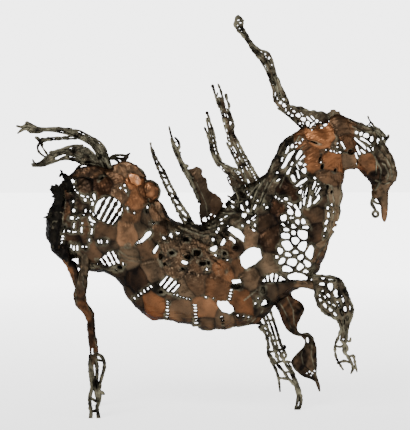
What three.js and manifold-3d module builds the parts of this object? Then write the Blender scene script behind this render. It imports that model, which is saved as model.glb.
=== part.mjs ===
// Standing horse of pierced copper plates and brazing-rod lace.
// Millimetres, +Z up, the horse faces +X and its mid-plane is y = 0.
// Every copper piece is a closed solid, and touching pieces stay a seam gap apart.
import * as THREE from 'three';
import { mergeVertices } from 'three/addons/utils/BufferGeometryUtils.js';
import Module from 'manifold-3d';

// Driving dimensions of the whole figure
const figureHeight = 606; // floor to the knob of the plume
const patternRows = 404; // squares of the side pattern over that height
const trunkHalfDepth = 55; // mid-plane to the widest point of the ribs
const neckHalfDepth = 27;
const headHalfDepth = 19;

// Sheet, rod and seam sizes
const shellWall = 3; // plates with the rods brazed on their back
const scrapThickness = 3; // loose scraps of sheet
const doubledScrap = 6; // scraps folded over on themselves
const saddleThickness = 4.8;
const laceRod = 3; // diameter of the brazing rod in the lace
const legRod = 4.2; // doubled rod in the legs
const beadDiameter = 6; // melted drop at the end of a rod
const jawRingDiameter = 10; // outside of the small ring under the chin
const seamGap = 0.3;

// Where the limbs stand across the figure, from the mid-plane, minus is the near side
const nearHindFoot = -60;
const farHindFoot = 56;
const nearHindHock = -36;
const farHindHock = 34;
const raisedLegOut = -trunkHalfDepth * 0.545; // over the near shoulder
const standingLegTop = 14;
const frontFoot = -9;
const sheetLegOut = 6;

// Where the pieces on the top line stand across the figure
const upperTailOut = 12;
const lowerTailOut = -14;
const rumpBowOut = 9;
const spikeOneOut = -12;
const spikeTwoOut = -6.7;
const saddleOut = -2;
const spikeThreeOut = 6;
const spikeFourOut = 2;

// How the side pattern is looked at
const eyeDistance = 2200;
const eyeTurn = 5; // degrees from square on, towards the tail
const eyeRise = 1.5; // degrees that the line of sight falls
const patternCentre = [205, 215];
const nearHindHoof = [94, 418];

// Mesh fineness
const trunkSides = 10;
const headSides = 8;
const bladeSides = 6;
const rodSides = 3;
const ringSides = 7; // facets round a ring of rod
const rodPitch = 30; // length of one facet of a rod
const weldStep = 2e-3; // vertices closer than this are one

const wasm = await Module();
wasm.setup();

// The side pattern is squared paper, u to the right and v down, seen from the eye.
// A pattern point is a line of sight, and a depth y picks one point on it.
const square = figureHeight / patternRows;
const turn = THREE.MathUtils.degToRad(eyeTurn);
const rise = THREE.MathUtils.degToRad(eyeRise);
const sightAxis = new THREE.Vector3(
  Math.sin(turn) * Math.cos(rise),
  Math.cos(turn) * Math.cos(rise),
  -Math.sin(rise),
);
const sightRight = new THREE.Vector3(Math.cos(turn), -Math.sin(turn), 0);
const sightUp = new THREE.Vector3().crossVectors(sightRight, sightAxis);
const eye = sightAxis.clone().multiplyScalar(-eyeDistance);

function onSightLine(u, v, y) {
  const across = (u - patternCentre[0]) * square;
  const upwards = (patternCentre[1] - v) * square;
  const ray = sightRight.clone().multiplyScalar(across).addScaledVector(sightUp, upwards).sub(eye);
  return eye.clone().addScaledVector(ray, (y - eye.y) / ray.y);
}

const floorDrop = onSightLine(...nearHindHoof, nearHindFoot).z;

function sight(u, v, y) {
  const point = onSightLine(u, v, y);
  point.z -= floorDrop;
  return point;
}

// Solids

// A closed mesh with welded corners becomes a solid. Faces are turned outwards first.
function solid(geometry) {
  geometry.deleteAttribute('normal');
  geometry.deleteAttribute('uv');
  const welded = mergeVertices(geometry, 1e-4);
  const triVerts = new Uint32Array(welded.index.array);
  const vertProperties = new Float32Array(welded.attributes.position.array);
  if (signedVolume(vertProperties, triVerts) < 0) triVerts.reverse();
  return new wasm.Manifold(new wasm.Mesh({ numProp: 3, vertProperties, triVerts }));
}

function signedVolume(xyz, corners) {
  const [a, b, c] = [new THREE.Vector3(), new THREE.Vector3(), new THREE.Vector3()];
  let volume = 0;
  for (let i = 0; i < corners.length; i += 3) {
    a.fromArray(xyz, 3 * corners[i]);
    b.fromArray(xyz, 3 * corners[i + 1]);
    c.fromArray(xyz, 3 * corners[i + 2]);
    volume += a.dot(b.cross(c)) / 6;
  }
  return volume;
}

function join(parts) {
  return parts.reduce((whole, part) => whole.add(part));
}

// Skin over rings of equally many points, closed by a fan at each end
function skin(rings) {
  const sides = rings[0].length;
  const points = rings.flat();
  const corners = [];
  for (let i = 0; i + 1 < rings.length; i++) {
    for (let j = 0; j < sides; j++) {
      const k = (j + 1) % sides;
      const [a, b] = [i * sides + j, i * sides + k];
      corners.push(a, b, b + sides, a, b + sides, a + sides);
    }
  }
  const last = (rings.length - 1) * sides;
  for (let j = 1; j + 1 < sides; j++) {
    corners.push(0, j + 1, j, last, last + j, last + j + 1);
  }
  const geometry = new THREE.BufferGeometry().setFromPoints(points);
  geometry.setIndex(corners);
  return solid(geometry);
}

// Blade: stations [u, v, u, v, depth, half thickness] across an oval, edge to edge
function blade(stations, sides = bladeSides, growth = 0) {
  return skin(stations.map(([au, av, bu, bv, y, half]) => {
    const beyond = growth / square / Math.hypot(au - bu, av - bv);
    const ring = [];
    for (let i = 0; i < sides; i++) {
      const angle = (2 * Math.PI * i) / sides;
      const share = 0.5 + (0.5 + beyond) * Math.cos(angle);
      const [u, v] = [bu + (au - bu) * share, bv + (av - bv) * share];
      ring.push(sight(u, v, y + (half + growth) * Math.sin(angle)));
    }
    return ring;
  }));
}

// A station whose depth is a share of how far its piece stands out
function atDepth([au, av, bu, bv, share, half], out) {
  return [au, av, bu, bv, share * out, half];
}

// Rod through pattern points [u, v, depth], with diameters spread evenly along it
function rod(points, diameters = [laceRod], sides = rodSides) {
  const path = new THREE.CatmullRomCurve3(points.map((p) => sight(...p)), false, 'centripetal');
  const steps = Math.max(points.length > 2 ? 2 : 1, Math.round(path.getLength() / rodPitch));
  const frames = path.computeFrenetFrames(steps);
  const rings = [];
  for (let i = 0; i <= steps; i++) {
    const place = (i / steps) * (diameters.length - 1);
    const low = Math.min(Math.floor(place), Math.max(0, diameters.length - 2));
    const high = Math.min(low + 1, diameters.length - 1);
    const radius = THREE.MathUtils.lerp(diameters[low], diameters[high], place - low) / 2;
    const centre = path.getPointAt(i / steps);
    const ring = [];
    for (let j = 0; j < sides; j++) {
      const angle = (2 * Math.PI * (j + 0.5)) / sides;
      ring.push(centre.clone()
        .addScaledVector(frames.normals[i], radius * Math.cos(angle))
        .addScaledVector(frames.binormals[i], radius * Math.sin(angle)));
    }
    rings.push(ring);
  }
  return skin(rings);
}

function bead(u, v, y, diameter = beadDiameter) {
  const { x, y: depth, z } = sight(u, v, y);
  return solid(new THREE.IcosahedronGeometry(diameter / 2, 0).translate(x, depth, z));
}

function loop(u, v, y, outerDiameter, rodDiameter = laceRod) {
  const { x, y: depth, z } = sight(u, v, y);
  const reach = (outerDiameter - rodDiameter) / 2;
  const round = new THREE.TorusGeometry(reach, rodDiameter / 2, rodSides, ringSides);
  return solid(round.rotateX(Math.PI / 2).translate(x, depth, z));
}

// Prism along the lines of sight through an outline, between two depths
function prism(outline, nearY, farY) {
  const flat = outline.map(([u, v]) => new THREE.Vector2(u, v));
  if (THREE.ShapeUtils.area(flat) < 0) flat.reverse();
  const count = flat.length;
  const points = [nearY, farY].flatMap((y) => flat.map((p) => sight(p.x, p.y, y)));
  const corners = [];
  for (const [a, b, c] of THREE.ShapeUtils.triangulateShape(flat, [])) {
    corners.push(a, b, c, a + count, c + count, b + count);
  }
  for (let i = 0; i < count; i++) {
    const j = (i + 1) % count;
    corners.push(j, i, i + count, j, i + count, j + count);
  }
  const geometry = new THREE.BufferGeometry().setFromPoints(points);
  geometry.setIndex(corners);
  return solid(geometry);
}

// Loose scrap of sheet with its outline on the pattern
function scrap(outline, y, thickness = scrapThickness) {
  return prism(outline, y - thickness / 2, y + thickness / 2);
}

// Outline of a round or oval cell, turned by an angle in degrees
function cell([u, v, width, height, degrees = 0], sides = 6) {
  const angle = THREE.MathUtils.degToRad(degrees);
  const outline = [];
  for (let i = 0; i < sides; i++) {
    const t = (2 * Math.PI * (i + 0.5)) / sides;
    const [a, b] = [(width / 2) * Math.cos(t), (height / 2) * Math.sin(t)];
    outline.push([
      u + a * Math.cos(angle) - b * Math.sin(angle),
      v + a * Math.sin(angle) + b * Math.cos(angle),
    ]);
  }
  return outline;
}

// Outline of a straight bar
function bar([u1, v1, u2, v2, width]) {
  const length = Math.hypot(u2 - u1, v2 - v1);
  const [acrossU, acrossV] = [(-(v2 - v1) / length) * (width / 2), ((u2 - u1) / length) * (width / 2)];
  return [
    [u1 + acrossU, v1 + acrossV],
    [u2 + acrossU, v2 + acrossV],
    [u2 - acrossU, v2 - acrossV],
    [u1 - acrossU, v1 - acrossV],
  ];
}

// Trunk and neck: one hollow shell of plates, alike on both sides
// Sections [top u, v, bottom u, v, half depth as a share, narrowing towards the top]
const trunkSections = [
  [49, 214, 49, 239, 0.32, 0],
  [54, 196, 55, 252, 0.62, 0],
  [63, 184, 66, 261, 0.8, 0.1],
  [77, 171, 80, 267, 0.93, 0.15],
  [92, 166, 94, 270, 1, 0.2],
  [122, 163, 120, 281, 1, 0.2],
  [138, 168, 128, 296, 1, 0.2],
  [150, 187, 138, 308, 1, 0.2],
  [160, 204, 152, 317, 1, 0.15],
  [172, 221, 168, 318.5, 1, 0.1],
  [188, 225, 184, 323, 1, 0.1],
  [206, 224, 205, 328.5, 1, 0.1],
  [220, 214, 222, 328.5, 1, 0.3],
  [231, 200, 240, 324, 0.98, 0.5],
  [243, 188, 257, 320, 0.95, 0.6],
  [255, 183, 273, 305, 0.9, 0.6],
  [262, 179, 291, 291, 0.84, 0.55],
  [267, 173, 313, 275, 0.77, 0.5],
];
const neckSections = [
  [273, 161, 328, 240, 1.34, 0.4],
  [279, 149, 339, 207, 1.12, 0.3],
  [284, 142, 341, 184, 1.04, 0.25],
  [295, 134, 343.5, 171, 1, 0.2],
  [308, 128, 347, 168, 0.96, 0.2],
  [322, 125, 350.5, 167.5, 0.9, 0.2],
  [335, 115, 353, 167.5, 0.85, 0.2],
  [346, 119, 355.5, 168, 0.76, 0.2],
];
const squareness = 2.4; // exponent of the oval section

// The shell's sections, grown outwards by a distance, or shrunk for the hollow
function trunkForm(growth) {
  const sections = [
    ...trunkSections.map((s) => [...s, trunkHalfDepth]),
    ...neckSections.map((s) => [...s, neckHalfDepth]),
  ];
  const rings = sections.map(([au, av, bu, bv, share, narrowing, fullDepth]) => {
    const length = Math.hypot(bu - au, bv - av);
    const step = growth / square / length;
    const half = share * fullDepth + growth;
    const ring = [];
    for (let i = 0; i < trunkSides; i++) {
      const angle = (2 * Math.PI * i) / trunkSides;
      const rounding = 2 / squareness;
      const [c, s] = [Math.cos(angle), Math.sin(angle)];
      const high = Math.sign(c) * Math.abs(c) ** rounding;
      const out = Math.sign(s) * Math.abs(s) ** rounding;
      const place = 0.5 - (0.5 + step) * high;
      const point = sight(au + (bu - au) * place, av + (bv - av) * place, 0);
      point.y = half * out * (1 - narrowing * (1 - place));
      ring.push(point);
    }
    return ring;
  });
  const [first, last] = [rings[0], rings[rings.length - 1]];
  first.forEach((point) => { point.x -= growth; });
  last.forEach((point) => { point.x += growth; });
  return skin(rings);
}

// Windows with their own outline
const plateWindows = [
  [[253, 247], [260, 248], [262, 258], [255, 264], [246, 269], [241, 265], [240, 256]],
  [[228, 230], [230, 226], [238, 229.5], [244, 236], [244, 242], [240, 241], [233, 234]],
  [[230, 236], [236, 241], [235, 244.5], [229, 240]],
  [[223, 237], [226, 239], [222, 246.5], [219.5, 245]],
  [[210, 247], [215, 244.5], [217.5, 249], [214, 252.5]],
  [[181.5, 260], [189, 261], [185, 265.5]],
  [[231, 280], [240, 279], [241, 283], [233, 284.5]],
  [[217, 301], [227, 301], [233.5, 307], [234.5, 311], [230, 314], [222, 312.5]],
  [[259, 304], [263, 300], [269, 300], [267, 304.5]],
  [[136, 244], [143, 238.5], [148, 231], [151.5, 234], [146, 240], [139, 244]],
  [[152, 252], [157, 244], [158.5, 247], [155, 254.5]],
  [[322, 184], [326, 195], [328, 210], [325, 226], [322, 226], [324.5, 210], [322.5, 196]],
  [[284.5, 154.5], [289.5, 144.5], [289, 150.5]],
  [[282, 170], [294, 151], [288, 162], [284, 171]],
  [[296, 159.5], [298, 152], [302, 149.5], [302, 154]],
];

// Windows left as bars between slots: the outline, and the bars across it
const barWidth = 1.9;
const slattedWindows = [
  {
    outline: [[99, 200], [106, 196.5], [112, 197], [118, 200], [123, 207], [119, 220], [113, 225.5],
      [105, 223], [98, 219], [95, 211]],
    bars: [[94, 213, 107, 195], [98, 220, 113, 195], [103, 224, 118, 198], [109, 227, 124, 203]],
  },
  {
    outline: [[97, 261], [103, 256.5], [108, 252], [114, 251], [118, 255], [120, 263], [110, 266]],
    bars: [[101, 256, 108, 268], [105, 252, 113, 267], [110, 250, 118, 266]],
  },
  {
    outline: [[158, 285], [167, 276], [174, 279], [180, 285], [174, 292], [167, 292]],
    bars: [[160, 291, 172, 274], [166, 294, 179, 279]],
  },
  {
    outline: [[262, 282], [266, 275.5], [273, 273], [280, 275], [287, 281.5]],
    bars: [[264, 274, 268, 284], [271, 271, 272, 284], [278, 272, 277, 284]],
  },
];

// Honeycomb between the wither plate and the chest plate: [u, v, width, height, turn]
const honeycomb = [
  [291, 213, 6, 5.4], [297.5, 215, 5, 9, 20], [285, 219.5, 6.5, 7, 20], [296, 225, 6, 6.6],
  [304, 226.5, 6.5, 6], [287, 230.5, 7.4, 5.4], [294.2, 233.5, 5.5, 5.4], [302, 235, 9, 8.6],
  [286, 237.6, 7.6, 6], [295.5, 242, 8.6, 8.2], [287, 246.5, 10.5, 8.6, 20], [302, 247.5, 9, 8.4],
  [309, 254, 6, 12], [280, 254.5, 5.6, 9], [293, 254, 9, 5.4], [301, 257.5, 6, 6.4],
  [283.6, 262.5, 7.6, 6.4], [306.8, 264, 6.4, 8, -20], [292, 263, 9, 7.4], [289, 270.5, 9, 6, 15],
  [300, 268, 7, 6.4], [298, 277, 14, 6],
];

// Small holes and the slits of the neck, four-sided: [u, v, width, height, turn]
const plateHoles = [
  [62, 236, 4, 5], [76, 247, 8, 3], [103, 242, 9, 3], [244, 195, 6, 6, 40],
  [243.5, 215.5, 5, 4.4], [296, 143, 5, 4], [305, 163, 9, 4, 37],
  [290, 169.5, 12, 3.4, -60], [295, 176.5, 10, 4, -55], [302, 182.5, 16, 3.4, -42],
  [304.5, 194, 22, 4.4, -73], [313, 183, 14, 4.4, -66], [315.5, 197.5, 15, 4.4, -64],
  [279, 197.5, 9, 3, 32],
];

// The far side is plainer: wide openings behind the groups of near ones
const farOpenings = [
  [[287, 208], [300, 207], [311, 250], [304, 279], [290, 279], [277, 254]],
  [[282, 170], [300, 148], [320, 186], [312, 204], [296, 202]],
  [[209, 246], [230, 227], [240, 230], [245, 242], [217, 256]],
  [[241, 190], [250, 190], [254, 220], [242, 219]],
  [[135, 244], [148, 230], [159, 244], [154, 255]],
  [[97, 202], [112, 195], [123, 207], [112, 226], [95, 216]],
  [[98, 259], [116, 250], [120, 263]],
  [[158, 286], [170, 275], [180, 285], [170, 293]],
  [[262, 281], [273, 273], [286, 281]],
];

function trunkWindows() {
  const reach = 2 * trunkHalfDepth;
  const near = [
    ...plateWindows,
    ...honeycomb.map((c) => cell(c, 5)),
    ...plateHoles.map((c) => cell(c, 4)),
  ].map((outline) => prism(outline, -reach, 0));
  const slatted = slattedWindows.map(({ outline, bars }) => {
    const slats = bars.map((b) => prism(bar([...b, barWidth]), -2 * reach, reach));
    return prism(outline, -reach, 0).subtract(join(slats));
  });
  const big = plateWindows.filter((outline) => outline.length > 5 && outline[0][0] < 300);
  const behind = [
    ...farOpenings,
    ...slattedWindows.map(({ outline }) => outline),
    ...big,
  ];
  return join([...near, ...slatted, ...behind.map((outline) => prism(outline, 0, reach))]);
}

function bodyShell() {
  return trunkForm(0).subtract(trunkForm(-shellWall)).subtract(trunkWindows());
}

// Head: stations from the poll down to the nose, with the cheek pierced
const headStations = [
  [345, 119, 353, 167.5, 0, 0.98], [357, 122.5, 358.5, 168.5, 0, 1], [368, 127.5, 364, 174, 0, 1],
  [378, 137, 369, 179.5, 0, 1],
  [388, 150, 372.5, 183, 0, 0.95], [395, 167, 373, 188, 0, 0.85], [395.5, 177, 373.5, 193, 0, 0.75],
  [389, 186, 374, 199, 0, 0.6],
];
const noseStations = [
  [389, 184, 377, 197, 0, 0.55], [388.4, 198, 380, 204, 0, 0.4], [388, 209, 381, 213, 0, 0.3],
  [385.6, 220, 382.4, 220, 0, 0.16],
];
const cheekHoles = [
  [362, 133.5, 8, 3.4, 10], [368, 136.5, 5, 5], [372.5, 138.5, 3.4, 6], [361, 139, 9, 3, 25],
  [363, 145.5, 8, 3.6, 35], [360, 150.5, 4, 7, -25],
];

function asDepth(stations, fullDepth) {
  return stations.map(([au, av, bu, bv, y, share]) => [au, av, bu, bv, y, share * fullDepth]);
}

function skull(growth) {
  const stations = growth < 0 ? headStations.slice(0, -2) : headStations;
  return blade(asDepth(stations, headHalfDepth), headSides, growth);
}

function headForm() {
  const holes = cheekHoles.map((c) => prism(cell(c, 4), -2 * headHalfDepth, 2 * headHalfDepth));
  const eyeSocket = prism(cell([385, 169, 7, 4, 50], 5), -2 * headHalfDepth, -headHalfDepth / 2);
  return skull(0).subtract(skull(-shellWall)).add(blade(asDepth(noseStations, headHalfDepth)))
    .add(rod([[375, 196, 0], [371.5, 203, 0], [373.5, 207, 0], [375, 211.5, 0]], [6, 4]))
    .add(loop(375.5, 213.5, 0, jawRingDiameter))
    .subtract(join(holes)).subtract(eyeSocket);
}

function forelockForm() {
  return join([
    rod([[370, 130, 0], [378, 132, 0], [385, 139.5, 0], [383, 148, 0]], [7, 6, 5]),
    rod([[369, 116, 2], [371.5, 122, 1], [378, 129, 0], [383, 136, 0]], [1.6, 2.4, 3]),
    rod([[382, 138, 0], [385, 138, 0], [388.5, 136, 0]], [4, 3.4]),
  ]).subtract(skull(seamGap));
}

// Plume and crest: a drawn-out sheet with lace where it meets the neck
const plumeStations = [
  [243.5, 37, 246.5, 33, 0, 2.2], [247, 44, 253, 43, 0, 2.6], [253, 54, 266, 51, 0, 3],
  [262, 66, 273.5, 61, 0, 3.4], [269, 80, 279, 78, 0, 3.4], [272, 90, 284, 90, 0, 3.2],
  [276, 103, 289.5, 102, 0, 3], [284, 111.5, 292, 108, 0, 3], [293, 121, 300, 115, 0, 3],
  [303, 132, 310, 124, 0, 3],
];
const crestOutline = [
  [288, 103], [300, 106], [310, 109], [321, 112], [327, 113], [330, 110], [335, 110], [345, 119],
  [345, 126], [322, 132], [303, 132], [290, 119],
];
const crestHoles = [
  [266, 56, 4, 5], [277.5, 97, 5, 12, -25], [283, 106.5, 5, 5], [297.5, 115, 6, 4.4, 20],
  [303.5, 119, 5, 5, 40], [308, 123.5, 4, 5.4], [310, 119, 7, 2.6, 40], [312.5, 124.5, 3.4, 7, 35],
  [317, 121.5, 4, 4.4], [325, 124.5, 5, 3, -30],
];

function plumeForm() {
  const holes = crestHoles.map((c) => prism(cell(c, 4), -headHalfDepth, headHalfDepth));
  const sheet = blade(plumeStations).add(scrap(crestOutline, 0, doubledScrap));
  const knobs = [
    rod([[245, 37, 0], [241, 33, 0], [236, 27, 0], [235, 21, 0], [238, 15, 0]], [3.6, 3, 3]),
    rod([[246, 34, 0], [243.5, 27, 0], [243, 21, 0], [239, 16, 0]], [3.6, 3]),
    rod([[235.5, 24, 0], [242.5, 23, 0]]),
    bead(238, 15, 0),
    bead(243.5, 21, 0, laceRod * 1.6),
  ];
  return sheet.subtract(join(holes)).add(join(knobs));
}

// Tail: two locks of drawn sheet and rod that spring from the rump
// Their depths are shares of how far the lock stands out.
const upperLockStations = [
  [26, 121.5, 24, 130, 1, 2], [35, 126.5, 36, 133, 1, 2.4], [50, 127.5, 50, 132, 0.92, 2.8],
  [64, 127, 63, 134, 0.75, 3.2], [78, 129.5, 76, 138.5, 0.58, 3.6], [90, 135.5, 84, 142, 0.42, 4],
  [101, 142, 93, 150, 0.25, 4.4], [108.5, 152, 99, 160, 0.08, 4.8], [112, 166, 103, 172, 0, 5],
];
const lowerLockStations = [
  [31.5, 164, 33, 167.5, 1.07, 1.8], [40, 161, 44, 167, 1, 2.4], [51, 153, 56, 162, 0.93, 2.8],
  [66, 148.5, 67, 160, 0.86, 3.2], [80, 145.5, 79, 164.5, 0.79, 3.6], [91, 149, 91, 166, 0.71, 4],
  [100, 158, 101, 174, 0.67, 4.2],
];

function upperTailLock() {
  const strand = (points, diameters) => (
    rod(points.map(([u, v, share]) => [u, v, share * upperTailOut]), diameters)
  );
  return join([
    blade(upperLockStations.map((s) => atDepth(s, upperTailOut))),
    strand([[27, 126, 1], [21, 128, 1], [17, 126, 1]], [3.4, 2.6, 2]),
    strand([[25, 129, 1], [21.5, 129.5, 1], [18, 133, 1]], [3.4, 2.4]),
    strand([[74, 137, 0.58], [60, 138.5, 0.75], [46, 139, 0.83], [38, 138, 0.83]], [3, 3, 5]),
    strand([[46, 139, 0.83], [42, 143, 0.75], [38.5, 147.5, 0.67], [41, 152.5, 0.58], [46, 157, 0.5]]),
    strand([[44, 141, 0.83], [46.5, 148, 0.67], [48, 156, 0.5]]),
    strand([[45.5, 156, 0.5], [48.5, 155.5, 0.5]]),
  ]);
}

function lowerTailLock() {
  const slot = prism(cell([64.5, 155.5, 23, 3.4, -8], 4), -2 * headHalfDepth, 2 * headHalfDepth);
  const y = lowerTailOut;
  return blade(lowerLockStations.map((s) => atDepth(s, y))).subtract(slot)
    .add(rod([[39, 163.5, y], [35, 163.5, y], [32.5, 159.5, y]], [3.4, 2]))
    .add(rod([[84, 160, 0.79 * y], [79, 166, 0.79 * y], [76, 171, 0.71 * y], [79, 182, 0.71 * y]],
      [3, 3.6]));
}

// Rump scraps: dark torn sheet and short rods along the back edge of the rump
const rumpScraps = [
  [[60, 170.5], [64, 177], [70, 180], [74, 190], [66, 198], [64, 186]],
  [[48, 190], [52, 185.5], [59, 185], [64, 190], [66, 200], [57, 204], [52, 199]],
  [[44.5, 216.5], [50, 213], [53, 206], [62, 208], [66, 226], [57, 236], [51, 240], [50, 224]],
];

function rumpScrap(outline) {
  return scrap(outline, 0, doubledScrap);
}

function rumpBow() {
  const y = rumpBowOut;
  return join([
    rod([[104, 178, y], [108, 161, y], [118, 155.5, y], [129, 154, y]], [5, 4, 3]),
    rod([[110, 160, y], [116, 159, y], [120, 164, y], [121, 176, y]], [4, 3.4, 4]),
  ]);
}

// Mane spikes: pairs of rods with rungs, some with sheet between them
function spikeOne() {
  const y = spikeOneOut;
  const back = [[151, 144], [153.5, 153], [158, 163], [165, 178], [171, 194], [179, 209], [189, 232]];
  const front = [[155, 153], [161, 167], [168, 180], [175, 193], [184, 210], [195, 232]];
  const rungs = [[159, 166, 163, 166], [169.5, 190, 174.5, 190], [178, 207, 183, 207]];
  return join([
    rod(back.map((p) => [...p, y]), [1.8, 3, 3, 3.6]),
    rod([[152, 151], ...front].map((p) => [...p, y]), [2.4, 3, 3.4]),
    ...rungs.map(([a, b, c, d]) => rod([[a, b, y], [c, d, y]])),
  ]);
}

function spikeTwo() {
  const y = spikeTwoOut;
  const back = [[169, 127], [173, 139], [178, 152], [184, 165], [190, 179], [196, 196]];
  const front = [[171, 132], [175, 146], [180, 158], [187, 172], [194, 184], [199, 196]];
  return join([
    rod(back.map((p) => [...p, y]), [1.8, 3, 3.6]),
    rod([[169.5, 128], ...front].map((p) => [...p, y]), [2, 3, 3.4]),
    rod([[175, 137.5, y], [179, 144, y], [179, 155, y]], [2.4, 3]),
    rod([[178, 152, y], [181, 157, y]]),
    rod([[184, 165, y], [188, 167, y]]),
  ]);
}

const saddleOutline = [
  [186, 168.5], [197, 166.5], [203, 170], [203, 176], [209, 190], [221, 197], [223.5, 204], [221, 218],
  [212, 232], [201, 228], [199, 210], [200, 200], [197, 195], [189, 175],
];

function saddleScrap() {
  const hole = prism(cell([204.5, 219.5, 3.6, 4], 5), -headHalfDepth, headHalfDepth);
  return scrap(saddleOutline, saddleOut, saddleThickness).subtract(hole);
}

const spikeThreeStations = [
  [208, 128, 213, 130, 1, 2.2], [209, 140, 215.5, 142, 1, 2.6], [211.5, 150, 217, 152, 1, 2.8],
  [213.5, 158, 222, 162, 1, 3], [220, 168, 232, 167, 1, 3], [226, 178, 240, 172, 1, 3],
  [232, 190, 247, 184, 0.83, 3], [238, 202, 250, 198, 0.67, 3],
];

function spikeThree() {
  const y = spikeThreeOut;
  return join([
    blade(spikeThreeStations.map((s) => atDepth(s, y))),
    rod([[207, 113, y], [209, 120, y], [213, 131, y]], [3, 2.6]),
    rod([[206.5, 119, y], [208.5, 128, y], [209.5, 136, y]], [2.4, 2.6]),
    rod([[204.5, 128, y], [207.5, 137, y], [211.5, 140, y]], [2.4, 3]),
    bead(207, 113.5, y, 4),
  ]);
}

const spikeFourStations = [
  [216, 97, 223, 97, 1, 2], [219, 108, 225, 109, 1, 2.4], [221, 118, 231, 117, 1, 2.6],
  [225, 130, 234, 128, 1, 2.8], [228, 143, 237, 141, 1, 3], [233, 156, 243, 155, 1, 3],
  [238, 168, 251, 168, 1, 3], [243, 181, 259, 179, 1, 3], [247, 195, 260, 193, 1, 3],
];

function spikeFour() {
  const y = spikeFourOut;
  const holes = [[226.5, 116, 3, 6, -30], [231, 123, 2.6, 5]];
  const cut = holes.map((c) => prism(cell(c, 5), -headHalfDepth, headHalfDepth));
  return blade(spikeFourStations.map((s) => atDepth(s, y))).subtract(join(cut)).add(join([
    rod([[212.5, 85, y], [214.5, 93, y], [217.5, 102, y]], [3.6, 2.8]),
    rod([[218, 84, y], [220.5, 91, y], [222.5, 101, y]], [3, 2.8]),
    rod([[226, 95, y], [228.5, 105, y], [230, 112, y], [228, 118, y]], [3, 2.6]),
    bead(212.7, 86, y, 4.4),
    bead(226, 95, y, 4),
  ]));
}

// Hind legs: a plate shin, with rods down to the two toes
// A leg leans out from the hock to its foot, so its depth follows its height.
const hockRow = 262;
const hindToeRow = 418;

function hindDepth(v, side) {
  const share = THREE.MathUtils.clamp((v - hockRow) / (hindToeRow - hockRow), -0.4, 1);
  const [hock, foot] = side < 0 ? [nearHindHock, nearHindFoot] : [farHindHock, farHindFoot];
  return hock + (foot - hock) * share;
}

const hindRear = [
  [57, 244, 70, 246, 8], [60, 257, 71, 258, 8], [66, 267, 76, 266, 8], [70.5, 277, 80, 275, 8],
  [73, 288, 84, 288, 7],
];
const hindFront = [
  [78, 250, 92, 252, 8], [80.5, 262, 92, 264, 8], [80, 274, 90, 276, 8], [78, 287, 88, 287, 8],
  [73, 297, 86.5, 298, 7.5], [77, 306.5, 89, 304, 7], [83, 313, 94.5, 312, 7], [87, 322, 95, 322, 6],
  [87.5, 338, 97.5, 338, 5.4], [89.5, 350, 98.5, 351, 5], [89.5, 360, 97, 359, 4.4],
  [90.5, 366, 95, 364, 3],
];

function hindLeg(side) {
  const tilt = ([au, av, bu, bv, half]) => [au, av, bu, bv, hindDepth((av + bv) / 2, side), half];
  const strand = (points, diameters) => rod(points.map(([u, v]) => [u, v, hindDepth(v, side)]), diameters);
  const toes = [legRod, legRod, legRod];
  return join([
    blade(hindRear.map(tilt)),
    blade(hindFront.map(tilt)),
    strand([[90.5, 358], [90.5, 372], [92, 386], [90.3, 400], [91, 422]], toes),
    strand([[91.5, 364], [93.5, 380], [97, 398], [97.5, 408], [98.8, 422]], toes),
    strand([[95, 360], [97.3, 368], [97.5, 386], [98.5, 402]], [4.6, 3.4]),
    strand([[96, 355], [101.5, 356], [104.3, 364], [102.5, 376], [100.3, 390], [99, 403]], [4, 3.4]),
    strand([[90.5, 411.5], [98, 411]], [3.6]),
    strand([[99.8, 391.5], [104, 394]], [4, 3.4]),
  ]);
}

// Standing foreleg: a cage of rods that closes to one small foot
function standingForeleg() {
  const depthAt = (v) => THREE.MathUtils.mapLinear(v, 300, 410, standingLegTop, frontFoot);
  const strand = (points, diameters = [3.4]) => rod(points.map(([u, v]) => [u, v, depthAt(v)]), diameters);
  const ring = (u, v, size) => loop(u, v, depthAt(v), size, laceRod);
  return join([
    strand([[256, 309], [262, 326], [267, 338], [268.5, 351], [274, 366], [278.5, 378], [280, 390]],
      [3, 3.4, 2.6]),
    strand([[260, 300], [264.5, 317], [270.5, 335], [274, 349], [278, 361]]),
    strand([[268, 303], [274.5, 321], [280.5, 340], [284.5, 352]]),
    strand([[268, 352], [276, 363], [284, 372], [291, 381], [297.5, 391]]),
    strand([[284, 355], [290, 369], [296.5, 384], [300.5, 395], [299.5, 414]], [3.4, 3.4, legRod]),
    strand([[277, 378.5], [285, 378.5], [291, 381]]),
    strand([[296, 388], [297, 400], [296, 414]], [3.4, legRod]),
    strand([[261, 326], [268, 327.5]]),
    strand([[270, 341], [282, 340]]),
    strand([[267.5, 352], [285, 349]]),
    strand([[251, 322], [258, 309], [262, 300]]),
    strand([[250, 319.5], [257, 323.5], [264, 329]]),
    ring(283.5, 356, 10),
  ]);
}

// Sheet foreleg: one twisted strip of plate with a scrolled end, clear of the floor
const sheetLegStations = [
  [264, 284, 292, 280, 0.2, 5], [270, 299, 293, 297, 0.6, 6], [276, 308, 303.5, 304, 1, 7],
  [281, 319, 303, 316, 1, 7], [286, 329, 297.5, 327, 1, 6], [293, 335, 299, 333, 1, 5],
  [303, 341, 311, 335.5, 1, 5], [304, 346, 316, 346, 1, 5.4], [296, 354, 317, 356, 1, 5.4],
  [290.5, 362, 317, 366, 1, 5], [301, 375, 317, 374, 1, 4.4], [314, 381, 318, 379, 1, 3],
  [318.3, 391, 320.5, 390, 1, 1.4],
];

function sheetForeleg() {
  const stations = sheetLegStations.map((s) => atDepth(s, sheetLegOut));
  const slot = prism(cell([307.5, 341, 2.4, 5, -15], 5), -headHalfDepth, 2 * headHalfDepth);
  return blade(stations).subtract(slot);
}

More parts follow.
